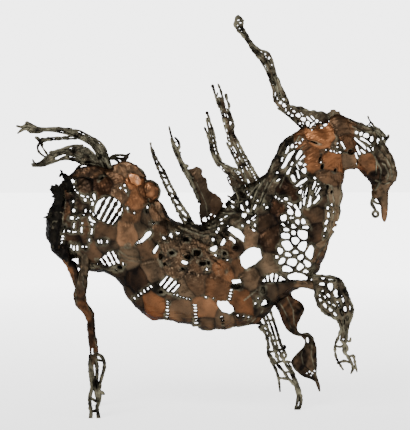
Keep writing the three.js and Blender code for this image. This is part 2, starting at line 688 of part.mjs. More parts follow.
// Raised foreleg: a strip along the chest, a pierced forearm and a lace shin that hangs from the knee
const raisedLegStations = [
  [283, 280, 288, 290, 0.5, 6], [300, 278.5, 303, 288.5, 0.85, 7], [312, 276, 315, 291, 1, 8],
  [321, 276, 319, 305, 1, 10], [331, 277, 325, 313, 1, 11], [341.5, 282, 333, 318, 1, 11],
  [348, 294, 338, 321, 1, 9], [353, 309, 340, 325, 1, 7], [349, 323, 341, 330, 1, 6],
  [346.5, 335, 340, 335, 1, 4.4],
];
const raisedLegHoles = [
  [331.5, 288, 6, 9, -30], [336.5, 297, 4.4, 8, -20], [323, 296, 4.4, 11, -15],
  [329.5, 306, 4.4, 11, -35], [343, 308, 4, 12, -25],
];

function raisedForeleg() {
  const y = raisedLegOut;
  const stations = raisedLegStations.map((s) => atDepth(s, y));
  const holes = raisedLegHoles.map((c) => prism(cell(c, 4), 3 * y, headHalfDepth));
  const strand = (points, diameters) => rod(points.map(([u, v]) => [u, v, y]), diameters);
  return blade(stations).subtract(join(holes)).add(join([
    strand([[341, 332], [336, 343], [335.5, 352], [339, 363.5], [344, 369]], [4, 3, 3, 2.4]),
    strand([[345.5, 332], [347.5, 340], [344.5, 351], [351.5, 358], [352, 367], [351, 373]], [4.4, 4, 4, 3]),
    strand([[338.5, 363], [344, 362], [352, 361.5]]),
    strand([[352, 361], [355.5, 366], [357, 371]], [3.4, 2.4]),
    strand([[336.5, 343], [341, 347], [346, 347]]),
    strand([[346, 341], [351, 341]], [4, 3]),
  ]));
}

// Finishes: copper plate gone brown and orange, and bronze rod gone nearly black
const platePatina = { color: 0x6b4229, roughness: 0.48, metalness: 0.85 };
const rodPatina = { color: 0x3b3528, roughness: 0.55, metalness: 0.8 };
const darkPatina = { color: 0x2a2621, roughness: 0.6, metalness: 0.75 };

// The solid as drawn: corners closer than the weld step are merged and flat slivers dropped
function meshOf(name, form, patina) {
  const { vertProperties, triVerts, numProp } = form.getMesh();
  const raw = new THREE.BufferGeometry();
  const xyz = new Float32Array((vertProperties.length / numProp) * 3);
  for (let i = 0; i < xyz.length / 3; i++) {
    for (let j = 0; j < 3; j++) xyz[3 * i + j] = vertProperties[numProp * i + j];
  }
  raw.setAttribute('position', new THREE.BufferAttribute(xyz, 3));
  raw.setIndex([...triVerts]);
  const geometry = mergeVertices(raw, weldStep);
  const kept = [];
  const corners = geometry.index.array;
  for (let i = 0; i < corners.length; i += 3) {
    const [a, b, c] = [corners[i], corners[i + 1], corners[i + 2]];
    if (a !== b && b !== c && c !== a) kept.push(a, b, c);
  }
  geometry.setIndex(kept);
  const mesh = new THREE.Mesh(geometry, new THREE.MeshStandardMaterial(patina));
  mesh.name = name;
  return mesh;
}

// Floor: everything that reaches below it is cut off flat
const floorHalf = figureHeight;
const belowFloor = solid(
  new THREE.BoxGeometry(2 * floorHalf, 2 * floorHalf, floorHalf).translate(0, 0, -floorHalf / 2),
);

// Assembly: each piece is cut back a seam gap from what carries it
const trunkClearance = trunkForm(seamGap);
const pieces = [
  ['body_shell', bodyShell(), platePatina],
  ['head', headForm().subtract(trunkClearance), platePatina],
  ['forelock_twig', forelockForm(), rodPatina],
  ['crest_plume', plumeForm().subtract(trunkClearance), rodPatina],
  ['tail_upper_lock', upperTailLock().subtract(trunkClearance), rodPatina],
  ['tail_lower_lock', lowerTailLock().subtract(trunkClearance), rodPatina],
  ...rumpScraps.map((outline, i) => (
    [`rump_scrap_${i + 1}`, rumpScrap(outline).subtract(trunkClearance), darkPatina]
  )),
  ['rump_bow', rumpBow().subtract(trunkClearance), darkPatina],
  ['mane_spike_1', spikeOne().subtract(trunkClearance), rodPatina],
  ['mane_spike_2', spikeTwo().subtract(trunkClearance), rodPatina],
  ['saddle_scrap', saddleScrap().subtract(trunkClearance), platePatina],
  ['mane_spike_3', spikeThree().subtract(trunkClearance), rodPatina],
  ['mane_spike_4', spikeFour().subtract(trunkClearance), rodPatina],
  ['hind_leg_near', hindLeg(-1).subtract(trunkClearance).subtract(belowFloor), platePatina],
  ['hind_leg_far', hindLeg(1).subtract(trunkClearance).subtract(belowFloor), platePatina],
  ['standing_foreleg', standingForeleg().subtract(trunkClearance).subtract(belowFloor), rodPatina],
  ['sheet_foreleg', sheetForeleg().subtract(trunkClearance), platePatina],
  ['raised_foreleg', raisedForeleg().subtract(trunkClearance), rodPatina],
];

const group = new THREE.Group();
for (const [name, form, patina] of pieces) group.add(meshOf(name, form, patina));

// The origin is on the floor, under the middle of the figure's box
const box = new THREE.Box3().setFromObject(group);
const middle = box.getCenter(new THREE.Vector3());
group.children.forEach((mesh) => mesh.position.set(-middle.x, -middle.y, -box.min.z));

export default group;
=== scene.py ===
import bpy
import numpy as np
from mathutils import Matrix


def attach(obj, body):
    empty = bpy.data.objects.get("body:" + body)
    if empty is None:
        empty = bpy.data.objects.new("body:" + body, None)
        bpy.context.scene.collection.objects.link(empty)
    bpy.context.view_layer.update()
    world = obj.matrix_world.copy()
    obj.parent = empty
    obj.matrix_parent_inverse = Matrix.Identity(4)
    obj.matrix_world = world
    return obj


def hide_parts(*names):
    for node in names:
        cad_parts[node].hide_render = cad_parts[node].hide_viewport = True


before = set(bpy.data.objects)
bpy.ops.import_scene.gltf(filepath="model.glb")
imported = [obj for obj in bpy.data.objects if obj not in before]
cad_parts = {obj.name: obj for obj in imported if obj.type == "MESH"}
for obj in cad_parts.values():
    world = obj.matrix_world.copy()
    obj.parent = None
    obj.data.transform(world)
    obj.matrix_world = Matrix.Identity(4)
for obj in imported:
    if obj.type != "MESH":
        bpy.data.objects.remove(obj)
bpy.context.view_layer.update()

# The side pattern: u to the right, v down, looked at from the eye. 606 mm from toe to plume is 404 squares.
square = 606 / 404
patternSize = np.array([410.0, 430.0])
patternCentre = patternSize / 2
eyeDistance = 2200.0
turn, rise = np.radians(5.0), np.radians(1.5)
frameShift = np.array([-4.7871, 2.5109, 0.0])  # pattern mid-plane to the middle of the figure's box
sightAxis = np.array([np.sin(turn) * np.cos(rise), np.cos(turn) * np.cos(rise), -np.sin(rise)])
sightRight = np.array([np.cos(turn), -np.sin(turn), 0.0])
sightUp = np.cross(sightRight, sightAxis)
eye = -sightAxis * eyeDistance
toMetres = 0.001


def onSightLine(u, v, y):
    u, v, y = (np.asarray(a, float) for a in np.broadcast_arrays(u, v, y))
    across = ((u - patternCentre[0]) * square)[..., None]
    upwards = ((patternCentre[1] - v) * square)[..., None]
    ray = across * sightRight + upwards * sightUp - eye
    return eye + ray * ((y - eye[1]) / ray[..., 1])[..., None]


nearToe = (94, 418, -60)
lift = frameShift - np.array([0, 0, onSightLine(*nearToe)[2]])  # puts the toe on the floor


def sight(u, v, y):
    return onSightLine(u, v, y) + lift


def patternOf(points):
    away = points - lift - eye
    onPattern = eye + away * (eyeDistance / (away @ sightAxis))[..., None]
    return np.stack([patternCentre[0] + onPattern @ sightRight / square,
                     patternCentre[1] - onPattern @ sightUp / square], -1)


# Small tools on whole arrays

def ripple(points, wavelength, seed):
    # Smooth noise around 0: plane waves with random directions and phases
    waves, shortest, longest = 12, 0.6, 1.7
    rng = np.random.default_rng(seed)
    total = 0
    for _ in range(waves):
        direction = rng.normal(size=points.shape[-1])
        direction /= np.linalg.norm(direction)
        phase = points @ direction * (2 * np.pi / (wavelength * rng.uniform(shortest, longest)))
        total = total + np.cos(phase + rng.uniform(0, 2 * np.pi))
    return total * np.sqrt(2 / waves)


def smooth(low, high, value):
    share = np.clip((value - low) / (high - low), 0, 1)
    return share * share * (3 - 2 * share)


def unit(vectors):
    return vectors / np.maximum(np.linalg.norm(vectors, axis=-1, keepdims=True), 1e-9)


def dome(x):
    # A half circle: 1 at x = 0 and 0 from x = 1 on, to both sides
    return np.sqrt(np.clip(1 - x ** 2, 0, 1))


def bulge(x):
    # A quarter circle: 0 at x = 0 and 1 from x = 1 on
    return dome(1 - np.clip(x, 0, 1))


def pairsOf(numbers):
    return np.reshape(numbers, (-1, 2)).astype(float)


def between(rows, share):
    # u and v at a share of the way from one edge to the other of rows [u, v, u, v, ...]
    return [rows[..., i] + (rows[..., i + 2] - rows[..., i]) * share for i in (0, 1)]


def lengthsAlong(points):
    return np.concatenate([[0], np.cumsum(np.linalg.norm(np.diff(points, axis=0), axis=1))])


def spline(rows, pitch):
    # Rows of numbers joined by a smooth curve, as rows about one pitch apart in the first columns
    measured, tightness, finePerRow = 5, 0.6, 40
    rows = np.asarray(rows, float)
    if len(rows) == 2:
        rows = np.stack([rows[0], rows.mean(0), rows[1]])
    width = min(rows.shape[1], measured)
    gaps = np.maximum(np.linalg.norm(np.diff(rows[:, :width], axis=0), axis=1), 1e-6) ** tightness
    knots = np.concatenate([[0], np.cumsum(gaps)])
    slopes = np.gradient(rows, knots, axis=0)
    fine = np.linspace(0, knots[-1], finePerRow * len(rows))

    def at(t):
        k = np.clip(np.searchsorted(knots, t, side="right") - 1, 0, len(knots) - 2)
        h = (knots[k + 1] - knots[k])[:, None]
        x = ((t - knots[k])[:, None]) / h
        return (rows[k] * (1 + 2 * x) * (1 - x) ** 2 + h * slopes[k] * x * (1 - x) ** 2
                + rows[k + 1] * x * x * (3 - 2 * x) + h * slopes[k + 1] * x * x * (x - 1))

    length = lengthsAlong(at(fine)[:, :width])
    steps = max(3, int(round(length[-1] / pitch)))
    return at(np.interp(np.linspace(0, length[-1], steps + 1), length, fine))


def barDistance(p, ends):
    a, b = np.asarray(ends[:2], float), np.asarray(ends[2:4], float)
    along = np.clip(((p - a) @ (b - a)) / max((b - a) @ (b - a), 1e-9), 0, 1)
    return np.linalg.norm(p - a - along[..., None] * (b - a), axis=-1)


def outlineDistance(p, outline):
    # Signed distance to a closed outline, below 0 inside
    nearest = np.full(p.shape[:-1], 1e9)
    inside = np.zeros(p.shape[:-1], bool)
    for (au, av), (bu, bv) in zip(outline, np.roll(outline, -1, 0)):
        nearest = np.minimum(nearest, barDistance(p, (au, av, bu, bv)))
        crosses = (av > p[..., 1]) != (bv > p[..., 1])
        where = au + (bu - au) * (p[..., 1] - av) / (bv - av if bv != av else 1e-9)
        inside ^= crosses & (p[..., 0] < where)
    return np.where(inside, -nearest, nearest)


def cellDistance(p, cell):
    # Rounded cell: [u, v, width, height, turn in degrees]
    power = 2.6
    u, v, width, height = cell[:4]
    angle = np.radians(cell[4] if len(cell) > 4 else 0)
    q = p - np.array([u, v])
    a = q[..., 0] * np.cos(angle) + q[..., 1] * np.sin(angle)
    b = q[..., 1] * np.cos(angle) - q[..., 0] * np.sin(angle)
    size = (np.abs(2 * a / width) ** power + np.abs(2 * b / height) ** power) ** (1 / power)
    return (size - 1) * min(width, height) / 2


def windowField(p, windows, seed=5, strut=1.5):
    # Distance in squares to the nearest window edge, below 0 inside. A strut stays between two neighbours.
    farOff, margin, wobble = 8.0, 4, 0.2
    nearest, second = np.full(p.shape[:-1], farOff), np.full(p.shape[:-1], farOff + 1)
    p = p + wobble * np.stack([ripple(p, 7, seed), ripple(p, 7, seed + 1)], -1)

    def meet(corners, reach, distance):
        near = np.all((p > np.min(corners, 0) - reach - margin)
                      & (p < np.max(corners, 0) + reach + margin), -1)
        if near.any():
            d, first = distance(p[near]), nearest[near]
            second[near] = np.minimum(second[near], np.maximum(d, first))
            nearest[near] = np.minimum(first, d)

    for kind, inset in (("outlines", 0.25), ("slatted", 0.2)):
        for outline in map(pairsOf, windows.get(kind, ())):
            meet(outline, 0, lambda q: outlineDistance(q, outline) + inset)
    for cell in windows.get("cells", ()):
        meet([cell[:2]], max(cell[2:4]) / 2, lambda q: cellDistance(q, cell))
    for slit in windows.get("slits", ()):
        meet(pairsOf(slit[:4]), slit[4], lambda q: barDistance(q, slit) - slit[4] / 2)
    return np.maximum(nearest, (strut - (second - nearest)) / 2)


def ridgeField(p, ridges):
    # How high a rod lies on the sheet at p: 1 on its line, 0 past its edge
    height = np.zeros(p.shape[:-1])
    for line, width in ridges:
        line = pairsOf(line)
        near = np.all((p > line.min(0) - width) & (p < line.max(0) + width), -1)
        if near.any():
            distance = np.min([barDistance(p[near], (*a, *b)) for a, b in zip(line, line[1:])], 0)
            height[near] = np.maximum(height[near], dome(2 * distance / width))
    return height


def plateField(flat, plates):
    # Which plate [u, v, reach, tone, olive] a point is on: distance to its seam, its tone and its olive share
    seamWidth = 1.6
    plates = np.asarray(plates, float)
    wobble = flat + 0.7 * np.stack([ripple(flat, 12, 41), ripple(flat, 12, 42)], -1)
    power = ((wobble[..., None, :] - plates[:, :2]) ** 2).sum(-1) - plates[:, 2] ** 2
    order = np.argpartition(power, 1, axis=-1)[..., :2]
    pair = np.take_along_axis(power, order, -1)
    swap = pair[..., 0] > pair[..., 1]
    first = np.where(swap, order[..., 1], order[..., 0])
    second = np.where(swap, order[..., 0], order[..., 1])
    apart = np.linalg.norm(plates[first, :2] - plates[second, :2], axis=-1)
    gap = np.abs(pair[..., 1] - pair[..., 0]) / (2 * apart)
    middle = (plates[first, 3] + plates[second, 3]) / 2
    tone = middle + (plates[first, 3] - middle) * (0.5 + 0.5 * smooth(0, seamWidth, gap))
    return gap, tone, plates[first, 4]


# Meshes: points, faces and traits

def trimmed(values, field):
    # Grid of rows of numbers, kept where field > 0 and cut along field = 0
    level = field.ravel()
    flat = values.reshape(level.size, -1)
    index = np.arange(level.size).reshape(field.shape)
    a, b, c, d = index[:-1, :-1], index[1:, :-1], index[1:, 1:], index[:-1, 1:]
    corners = np.concatenate([np.stack([a, b, c], -1).reshape(-1, 3), np.stack([a, c, d], -1).reshape(-1, 3)])
    inside = level[corners] > 0
    count = inside.sum(1)

    def turned(chosen, odd):
        first = (inside[chosen] == odd).argmax(1)
        return np.take_along_axis(corners[chosen], (first[:, None] + np.arange(3)) % 3, 1)

    one, two = turned(count == 1, True), turned(count == 2, False)
    ends = np.concatenate([one[:, [0, 1]], one[:, [0, 2]], two[:, [0, 1]], two[:, [0, 2]]])
    keys, which = np.unique(ends.min(1) * level.size + ends.max(1), return_inverse=True)
    low, high = keys // level.size, keys % level.size
    share = (level[low] / (level[low] - level[high]))[:, None]
    rows = np.concatenate([flat, flat[low] + (flat[high] - flat[low]) * share])
    e1, e2, e3, e4 = np.split(which.reshape(-1) + level.size, np.cumsum([len(one), len(one), len(two)]))
    faces = np.concatenate([corners[count == 3], np.stack([one[:, 0], e1, e2], -1),
                            np.stack([e3, two[:, 1], two[:, 2]], -1), np.stack([e3, two[:, 2], e4], -1)])
    used, faces = np.unique(faces, return_inverse=True)
    return rows[used], faces.reshape(-1, 3), used >= level.size


def facingOut(points, faces):
    a, b, c = (points[faces[:, i]] - points.mean(0) for i in range(3))
    return faces[:, ::-1] if np.einsum("ij,ij->i", a, np.cross(b, c)).sum() < 0 else faces


def welded(points, faces, traits):
    # Corners at one place become one, flat triangles go, and the faces look outwards
    _, first, which = np.unique(np.round(points, 3), axis=0, return_index=True, return_inverse=True)
    faces = which.reshape(-1)[faces]
    faces = faces[(faces[:, 0] != faces[:, 1]) & (faces[:, 1] != faces[:, 2]) & (faces[:, 2] != faces[:, 0])]
    return points[first], facingOut(points[first], faces), traits[first]


def closedSheet(points, normals, field, front, back, traits):
    # Sheet with a front and a back that meet along the edge
    border = np.zeros(field.shape, bool)
    border[[0, -1]] = border[:, [0, -1]] = True
    columns = [points, np.broadcast_to(normals, points.shape)]
    columns += [np.broadcast_to(a, field.shape)[..., None] for a in (front, back, *traits)]
    rows, faces, onEdge = trimmed(np.concatenate(columns, -1), np.where(border, np.minimum(field, 0), field))
    base, out = rows[:, :3], rows[:, 3:6]
    inner = np.flatnonzero(~onEdge)
    toBack = np.arange(len(rows))
    toBack[inner] = len(rows) + np.arange(len(inner))
    frontPoints = base + out * np.where(onEdge, 0, rows[:, 6])[:, None]
    backPoints = base[inner] - out[inner] * rows[inner, 7][:, None]
    return welded(np.concatenate([frontPoints, backPoints]), np.concatenate([faces, toBack[faces][:, ::-1]]),
                  np.concatenate([rows[:, 8:], rows[inner, 8:]]))


# Traits of a surface for its material, and those of three rods
traitNames = ("tone", "olive", "rod", "crust")
darkRod, plainRod, oliveRod = (0.16, 0.6, 1, 0), (0.2, 0.6, 1, 0), (0.24, 0.8, 1, 0)


def piece(name, parts, metal, *nodes):
    material, slot = metal
    starts = np.cumsum([0] + [len(points) for points, _, _ in parts])
    points = np.concatenate([p for p, _, _ in parts])
    faces = np.concatenate([f + s for (_, f, _), s in zip(parts, starts)])
    traits = np.concatenate([t for _, _, t in parts])
    mesh = bpy.data.meshes.new(name)
    mesh.vertices.add(len(points))
    mesh.vertices.foreach_set("co", (points * toMetres).astype(np.float32).ravel())
    mesh.loops.add(3 * len(faces))
    mesh.loops.foreach_set("vertex_index", faces.astype(np.int32).ravel())
    mesh.polygons.add(len(faces))
    mesh.polygons.foreach_set("loop_start", np.arange(0, 3 * len(faces), 3, dtype=np.int32))
    mesh.update(calc_edges=True)
    mesh.polygons.foreach_set("use_smooth", np.ones(len(faces), bool))
    for trait, column in zip(traitNames, traits.T):
        mesh.attributes.new(trait, "FLOAT", "POINT").data.foreach_set("value", column.astype(np.float32))
    mesh.materials.append(material)
    thing = bpy.data.objects.new(name, mesh)
    bpy.context.scene.collection.objects.link(thing)
    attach(thing, "root")
    if nodes:
        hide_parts(*nodes)
    print(name, len(faces), "triangles")


def tube(points, radii, traits=plainRod, sides=8, pitch=2.2, lumps=0.1, seed=1):
    # Rod through pattern points [u, v, depth in mm], with radii in mm spread along it and a coat of braze
    swell, coat, lumpiness = 1.15, 0.4, 0.55
    path = spline(sight(*np.transpose(points)), pitch)
    rng = np.random.default_rng(seed + int(abs(path[0]).sum() * 10) % 9973)
    radius = np.interp(np.linspace(0, 1, len(path)), np.linspace(0, 1, len(radii)), radii) * swell + coat
    lumps = lumpiness * lumps
    station = lengthsAlong(path)[:, None] + rng.uniform(0, 100)
    radius = radius * (1 + lumps * ripple(station, 9, seed) + 0.5 * lumps * ripple(station, 4, seed + 1))
    tangent = unit(np.gradient(path, axis=0))
    across = np.where(np.abs(tangent[:, 1:2]) > 0.9, np.array([1.0, 0, 0]), np.array([0, 1.0, 0]))
    side = unit(np.cross(tangent, across))
    other = np.cross(side, tangent)
    # Rounded ends: the first and last two rings close in and move out, as shares of the radius
    pick = np.concatenate([[0, 0], np.arange(1, len(path) - 1), [-1, -1]])
    moved, size = np.zeros(len(pick)), np.ones(len(pick))
    moved[[0, 1, -2, -1]] = -0.8, -0.45, 0.45, 0.8
    size[[0, 1, -2, -1]] = 0.35, 0.8, 0.8, 0.35
    centres = path[pick] + tangent[pick] * radius[pick, None] * moved[:, None]
    angles = np.linspace(0, 2 * np.pi, sides, endpoint=False)[None, :, None]
    rings = centres[:, None] + (radius[pick] * size)[:, None, None] * (
        np.cos(angles) * side[pick][:, None] + np.sin(angles) * other[pick][:, None])
    poles = centres[[0, -1]] + tangent[[0, -1]] * radius[[0, -1], None] * np.array([[-0.1], [0.1]])
    index = np.arange(len(rings) * sides).reshape(-1, sides)
    a, b, c, d = index[:-1], np.roll(index, -1, 1)[:-1], index[1:], np.roll(index, -1, 1)[1:]
    faces = [np.stack([a, b, d], -1).reshape(-1, 3), np.stack([a, d, c], -1).reshape(-1, 3)]
    for pole, last, order in ((index.size, index[0], 1), (index.size + 1, index[-1], -1)):
        faces.append(np.stack([np.full(sides, pole), np.roll(last, -1), last], -1)[:, ::order])
    allPoints = np.concatenate([rings.reshape(-1, 3), poles])
    tones = np.repeat(np.asarray(traits, float)[None], len(allPoints), 0)
    tones[:, 0] += 0.05 * ripple(allPoints, 12, seed + 3)
    return allPoints, facingOut(allPoints, np.concatenate(faces)), tones


def strands(table, depth, traits=darkRod, seed=1, **settings):
    # Rods ([u, v, u, v, ...], radii), with the depth a number or a function of v
    parts = []
    for i, (line, radii) in enumerate(table):
        u, v = pairsOf(line).T
        shade = (traits[0] + 0.05 * np.sin(7.0 * i + seed), *traits[1:])
        y = depth(v) if callable(depth) else np.full(len(v), depth)
        parts.append(tube(np.stack([u, v, y], -1), radii, shade, seed=seed * 17 + i, **settings))
    return parts


def bead(u, v, y, radius):
    return tube([[u - 0.25, v, y], [u + 0.25, v, y]], [radius], sides=10, pitch=0.3, lumps=0)


def ring(u, v, y, outer, radius):
    # Small hoop of rod facing the eye: outer size in squares
    angle = np.linspace(0, 2 * np.pi, 13)
    reach = outer / 2 - radius / square
    points = np.stack([u + reach * np.cos(angle), v + reach * np.sin(angle), np.full(13, y)], -1)
    return tube(points, [radius], oliveRod, pitch=1.6)


towardsEye = unit(-sightAxis * np.array([1, 1, 0]))
leastHalf, leastSkin = 0.2, 0.25  # mm that a sheet keeps on each side at least


def blade(stations, windows={}, ridges=(), traits=(0.3, 0.4, 0, 0), pitch=1.4, ragged=0.3, hammer=0.3, seed=3,
          plates=None):
    # Drawn-out oval sheet: stations [u, v, u, v, depth, half thickness, tilt or none], edge to edge
    edgeHalf, rimWidth, ridgeHeight, fewest, bite = 0.3, 0.8, 0.9, 6, 0.6
    rows = spline(stations, pitch / square)
    width = np.linalg.norm(rows[:, 0:2] - rows[:, 2:4], axis=1)
    w = np.linspace(-1, 1, max(fewest, int(np.ceil(width.max() * square / pitch))) + 1)
    u, v = between(rows[:, None], (1 + w) / 2)
    tilt = rows[:, 6:7] * w if rows.shape[1] > 6 else 0
    points = sight(u, v, rows[:, 4:5] + 0 * u + tilt)
    flat = np.stack([u, v], -1)
    edge = (1 - np.abs(w)) * width[:, None] / 2
    fromEnd = np.minimum(np.arange(len(rows)), np.arange(len(rows))[::-1])[:, None] * pitch / square
    field = np.minimum(edge, fromEnd + 0 * w) + ragged * (ripple(flat, 5, seed) - bite) * smooth(3, 0, edge)
    holes = windowField(flat, windows, seed=seed)
    field = np.minimum(field, holes)
    high = ridgeField(flat, ridges)
    body = (edgeHalf + rows[:, 5:6] * (1 - np.abs(w) ** 2) ** 0.5) * bulge(field / rimWidth)
    relief = hammer * ripple(flat, 6, seed + 4) + ridgeHeight * high
    front = body + relief * smooth(0, rimWidth, field)
    back = body + 0.5 * hammer * ripple(flat, 9, seed + 7) * smooth(0, rimWidth, field)
    tone = traits[0] + 0.06 * ripple(flat, 9, seed + 9) - 0.06 * smooth(1.2, 0, field)
    olive = traits[1]
    if plates:
        _, plateTone, olive = plateField(flat, plates)
        tone = tone + plateTone - traits[0]
    rodShare = np.clip(traits[2] + 0.8 * high + 0.4 * smooth(1.4, 0.4, holes), 0, 1)
    return closedSheet(points, towardsEye, field, np.maximum(front, leastHalf), np.maximum(back, leastHalf),
                       [tone, olive, rodShare, traits[3]])


def edgeLace(stations, pitch=4.6, inset=1.9, width=1.1, seed=1, keep=0.8):
    # Slits that follow both edges of a blade, so that its edge reads as a rod held by rungs
    narrowest = 5.0
    rows = spline(stations, pitch)
    rng = np.random.default_rng(seed)
    slits = []
    for a, b in ((rows[:, 0:2], rows[:, 2:4]), (rows[:, 2:4], rows[:, 0:2])):
        across = np.linalg.norm(b - a, axis=1)
        line = a + unit(b - a) * np.minimum(inset, across / 3)[:, None]
        for p, q, wide in zip(line[:-1], line[1:], across):
            if rng.random() < keep and wide > narrowest:
                cut = rng.uniform(0.1, 0.3)
                slits.append((*(p + (q - p) * cut), *(q - (q - p) * cut), width * rng.uniform(0.8, 1.2)))
    return slits


def scrap(outline, y, half, windows={}, ridges=(), traits=(0.1, 0.2, 0, 0), pitch=0.8, lean=(0, 0), stand=0.0,
          ragged=0.35, hammer=0.35, seed=3):
    # Torn sheet inside an outline. lean is its slope across u and v, stand how far the middle stands out.
    outline = pairsOf(outline)
    margin, lip, leastBack = 1.5, 0.7, 0.05
    low, high = outline.min(0) - margin, outline.max(0) + margin
    flat = np.stack(np.meshgrid(*(np.arange(low[i], high[i] + pitch, pitch) for i in (0, 1)),
                                indexing="ij"), -1)
    inside = -outlineDistance(flat, outline)
    field = inside + ragged * ripple(flat, 5, seed) * smooth(4, 0, np.abs(inside))
    field = np.minimum(field, windowField(flat, windows, seed=seed))
    middle = outline.mean(0)
    reach = np.abs(outline - middle).max(0)
    nearMiddle = 1 - np.clip((((flat - middle) / reach) ** 2).sum(-1), 0, 1)
    depth = y + (flat - middle) @ np.asarray(lean, float) - stand * nearMiddle
    rod = ridgeField(flat, ridges)
    rim = bulge(field)
    relief = (hammer * ripple(flat, 6, seed + 4) + rod) * smooth(0, 1, field)
    front = (half + lip * smooth(2.2, 1.0, field)) * rim + relief
    tone = traits[0] + 0.07 * ripple(flat, 8, seed + 9)
    return closedSheet(sight(flat[..., 0], flat[..., 1], depth), towardsEye, field,
                       np.maximum(front, leastHalf), half * rim + leastBack,
                       [tone, traits[1], np.clip(traits[2] + 0.8 * rod, 0, 1), traits[3]])


def patched(sheet, plates):
    # A finished sheet with the patina of a patchwork of plates
    points, _, traits = sheet
    _, traits[:, 0], traits[:, 1] = plateField(patternOf(points), plates)
    return sheet


def bundle(stations, count, radius, seed, traits=(0.18, 0.6, 1, 0), spread=0.85, stand=1.0):
    # Strands that wander from edge to edge of a blade and cross each other
    wander, onNearSide = 0.55, 0.65
    rows = spline(stations, 5)
    rng = np.random.default_rng(seed)
    along = np.linspace(0, 1, len(rows))
    parts = []
    for k in range(count):
        start = -1 + (2 * k + 1) / count
        turns, phase = rng.uniform(0.6, 2.2), rng.uniform(0, 2 * np.pi)
        sway = wander * np.sin(2 * np.pi * turns * along + phase) * np.sin(np.pi * along) ** 0.5
        w = np.clip(start * spread + sway, -spread, spread)
        side = -1 if rng.random() < onNearSide else 1
        half = rows[:, 5] * dome(w) * stand
        y = rows[:, 4] + side * half * (0.7 + 0.3 * np.cos(2 * np.pi * turns * along + 2 * phase))
        tone = (traits[0] + rng.uniform(-0.1, 0.12), *traits[1:])
        size = radius * rng.uniform(0.8, 1.25)
        parts.append(tube(np.stack([*between(rows, (1 + w) / 2), y], -1), [size * 0.8, size, size * 0.9],
                          tone, sides=6, pitch=2.6, seed=seed * 31 + k))
    return parts


print("tools ready")


# Patina colours and materials

def linear(hexColour):
    channels = np.array([int(hexColour[i:i + 2], 16) for i in (0, 2, 4)]) / 255
    low = channels <= 0.04045
    return (*np.where(low, channels / 12.92, ((channels + 0.055) / 1.055) ** 2.4), 1.0)


def addNode(tree, kind, inputs=None, **settings):
    node = tree.nodes.new(kind)
    for key, value in settings.items():
        setattr(node, key, value)
    for key, value in (inputs or {}).items():
        socket = node.inputs[key]
        if isinstance(value, bpy.types.NodeSocket):
            tree.links.new(value, socket)
        else:
            socket.default_value = value
    return node


def mapped(tree, value, low, high, toLow=0.0, toHigh=1.0):
    return addNode(tree, "ShaderNodeMapRange", {"Value": value, "From Min": low, "From Max": high,
                                                "To Min": toLow, "To Max": toHigh}).outputs[0]


# Size in metres, detail and strength of each texture
textures = {"clouds": (0.014, 4.0, 0.24), "specks": (0.0025, 3.0, 0.1), "drips": (0.005, 5.0, 0.6)}
oliveDark, crustColour, satinTint = "15130f", "655340", (0.15, 0.15, 0.15, 1)
plateRamp = [(0.0, "0b0807"), (0.2, "281b12"), (0.4, "432c1c"),
             (0.6, "633f27"), (0.8, "855737"), (1.0, "c19a80")]
scrapRamp = [(0.0, "080707"), (0.3, "1a1513"), (0.6, "33251e"), (1.0, "7a5a48")]


def patina(name, plateColours, oliveColour, rodColours, roughness):
    # Copper sheet and rod that were torch-patinated brown; rod parts get a painted highlight, a lighter colour
    # laid on by cloud noise and stronger where the tone is higher
    material = bpy.data.materials.new(name)
    material.use_nodes = True
    tree = material.node_tree
    tree.nodes.clear()
    place = addNode(tree, "ShaderNodeTexCoord").outputs["Object"]
    trait = {t: addNode(tree, "ShaderNodeAttribute", attribute_name=t).outputs["Fac"] for t in traitNames}

    def noise(size, detail):
        node = addNode(tree, "ShaderNodeTexNoise", {"Vector": place, "Scale": 1 / size, "Detail": detail})
        return node.outputs["Fac"]

    def maths(kind, a, b):
        return addNode(tree, "ShaderNodeMath", {0: a, 1: b}, operation=kind).outputs[0]

    def mix(share, a, b):
        return addNode(tree, "ShaderNodeMix", {0: share, 6: a, 7: b}, data_type="RGBA").outputs[2]

    clouds, specks, drips = (noise(size, detail) for size, detail, _ in textures.values())
    shade = trait["tone"]
    for texture, kind in ((clouds, "clouds"), (specks, "specks")):
        shade = maths("ADD", shade, maths("MULTIPLY", maths("SUBTRACT", texture, 0.5), textures[kind][2]))
    ramp = addNode(tree, "ShaderNodeValToRGB", {"Fac": shade})
    stops = ramp.color_ramp.elements
    while len(stops) < len(plateColours):
        stops.new(0.5)
    for stop, (where, colour) in zip(stops, plateColours):
        stop.position, stop.color = where, linear(colour)
    plate = mix(maths("MULTIPLY", trait["olive"], 0.75), ramp.outputs["Color"],
                mix(shade, linear(oliveDark), linear(oliveColour)))
    # Painted highlight on rod parts: lighter rod colour where the cloud noise is high, stronger where the tone is
    # higher
    rodHighlight = maths("MULTIPLY", mapped(tree, clouds, 0.38, 0.7), maths("ADD", shade, 0.3))
    colour = mix(trait["rod"], plate, mix(rodHighlight, *map(linear, rodColours)))
    crusty = maths("MULTIPLY", trait["crust"], mapped(tree, drips, 0.52, 0.66))
    crusty = maths("MULTIPLY", crusty, textures["drips"][2])
    bump = addNode(tree, "ShaderNodeBump", {"Strength": 0.35, "Distance": 0.0004, "Height": specks})
    surface = addNode(tree, "ShaderNodeBsdfPrincipled", {
        "Base Color": mix(crusty, colour, linear(crustColour)), "Metallic": 0.9,
        "Roughness": mapped(tree, clouds, 0.35, 0.65, roughness - 0.08, roughness + 0.1),
        "Normal": bump.outputs["Normal"], "Specular Tint": satinTint})
    addNode(tree, "ShaderNodeOutputMaterial", {"Surface": surface.outputs[0]})
    return material


# Plates: brown to orange-brown heat patina, nearly black in the seams, with a painted highlight colour on their
# rod parts
copper = patina("copper_sheet_torch_patinated", plateRamp, "7d715b", ("0f0d0a", "857f69"), 0.4), "copper_plate"
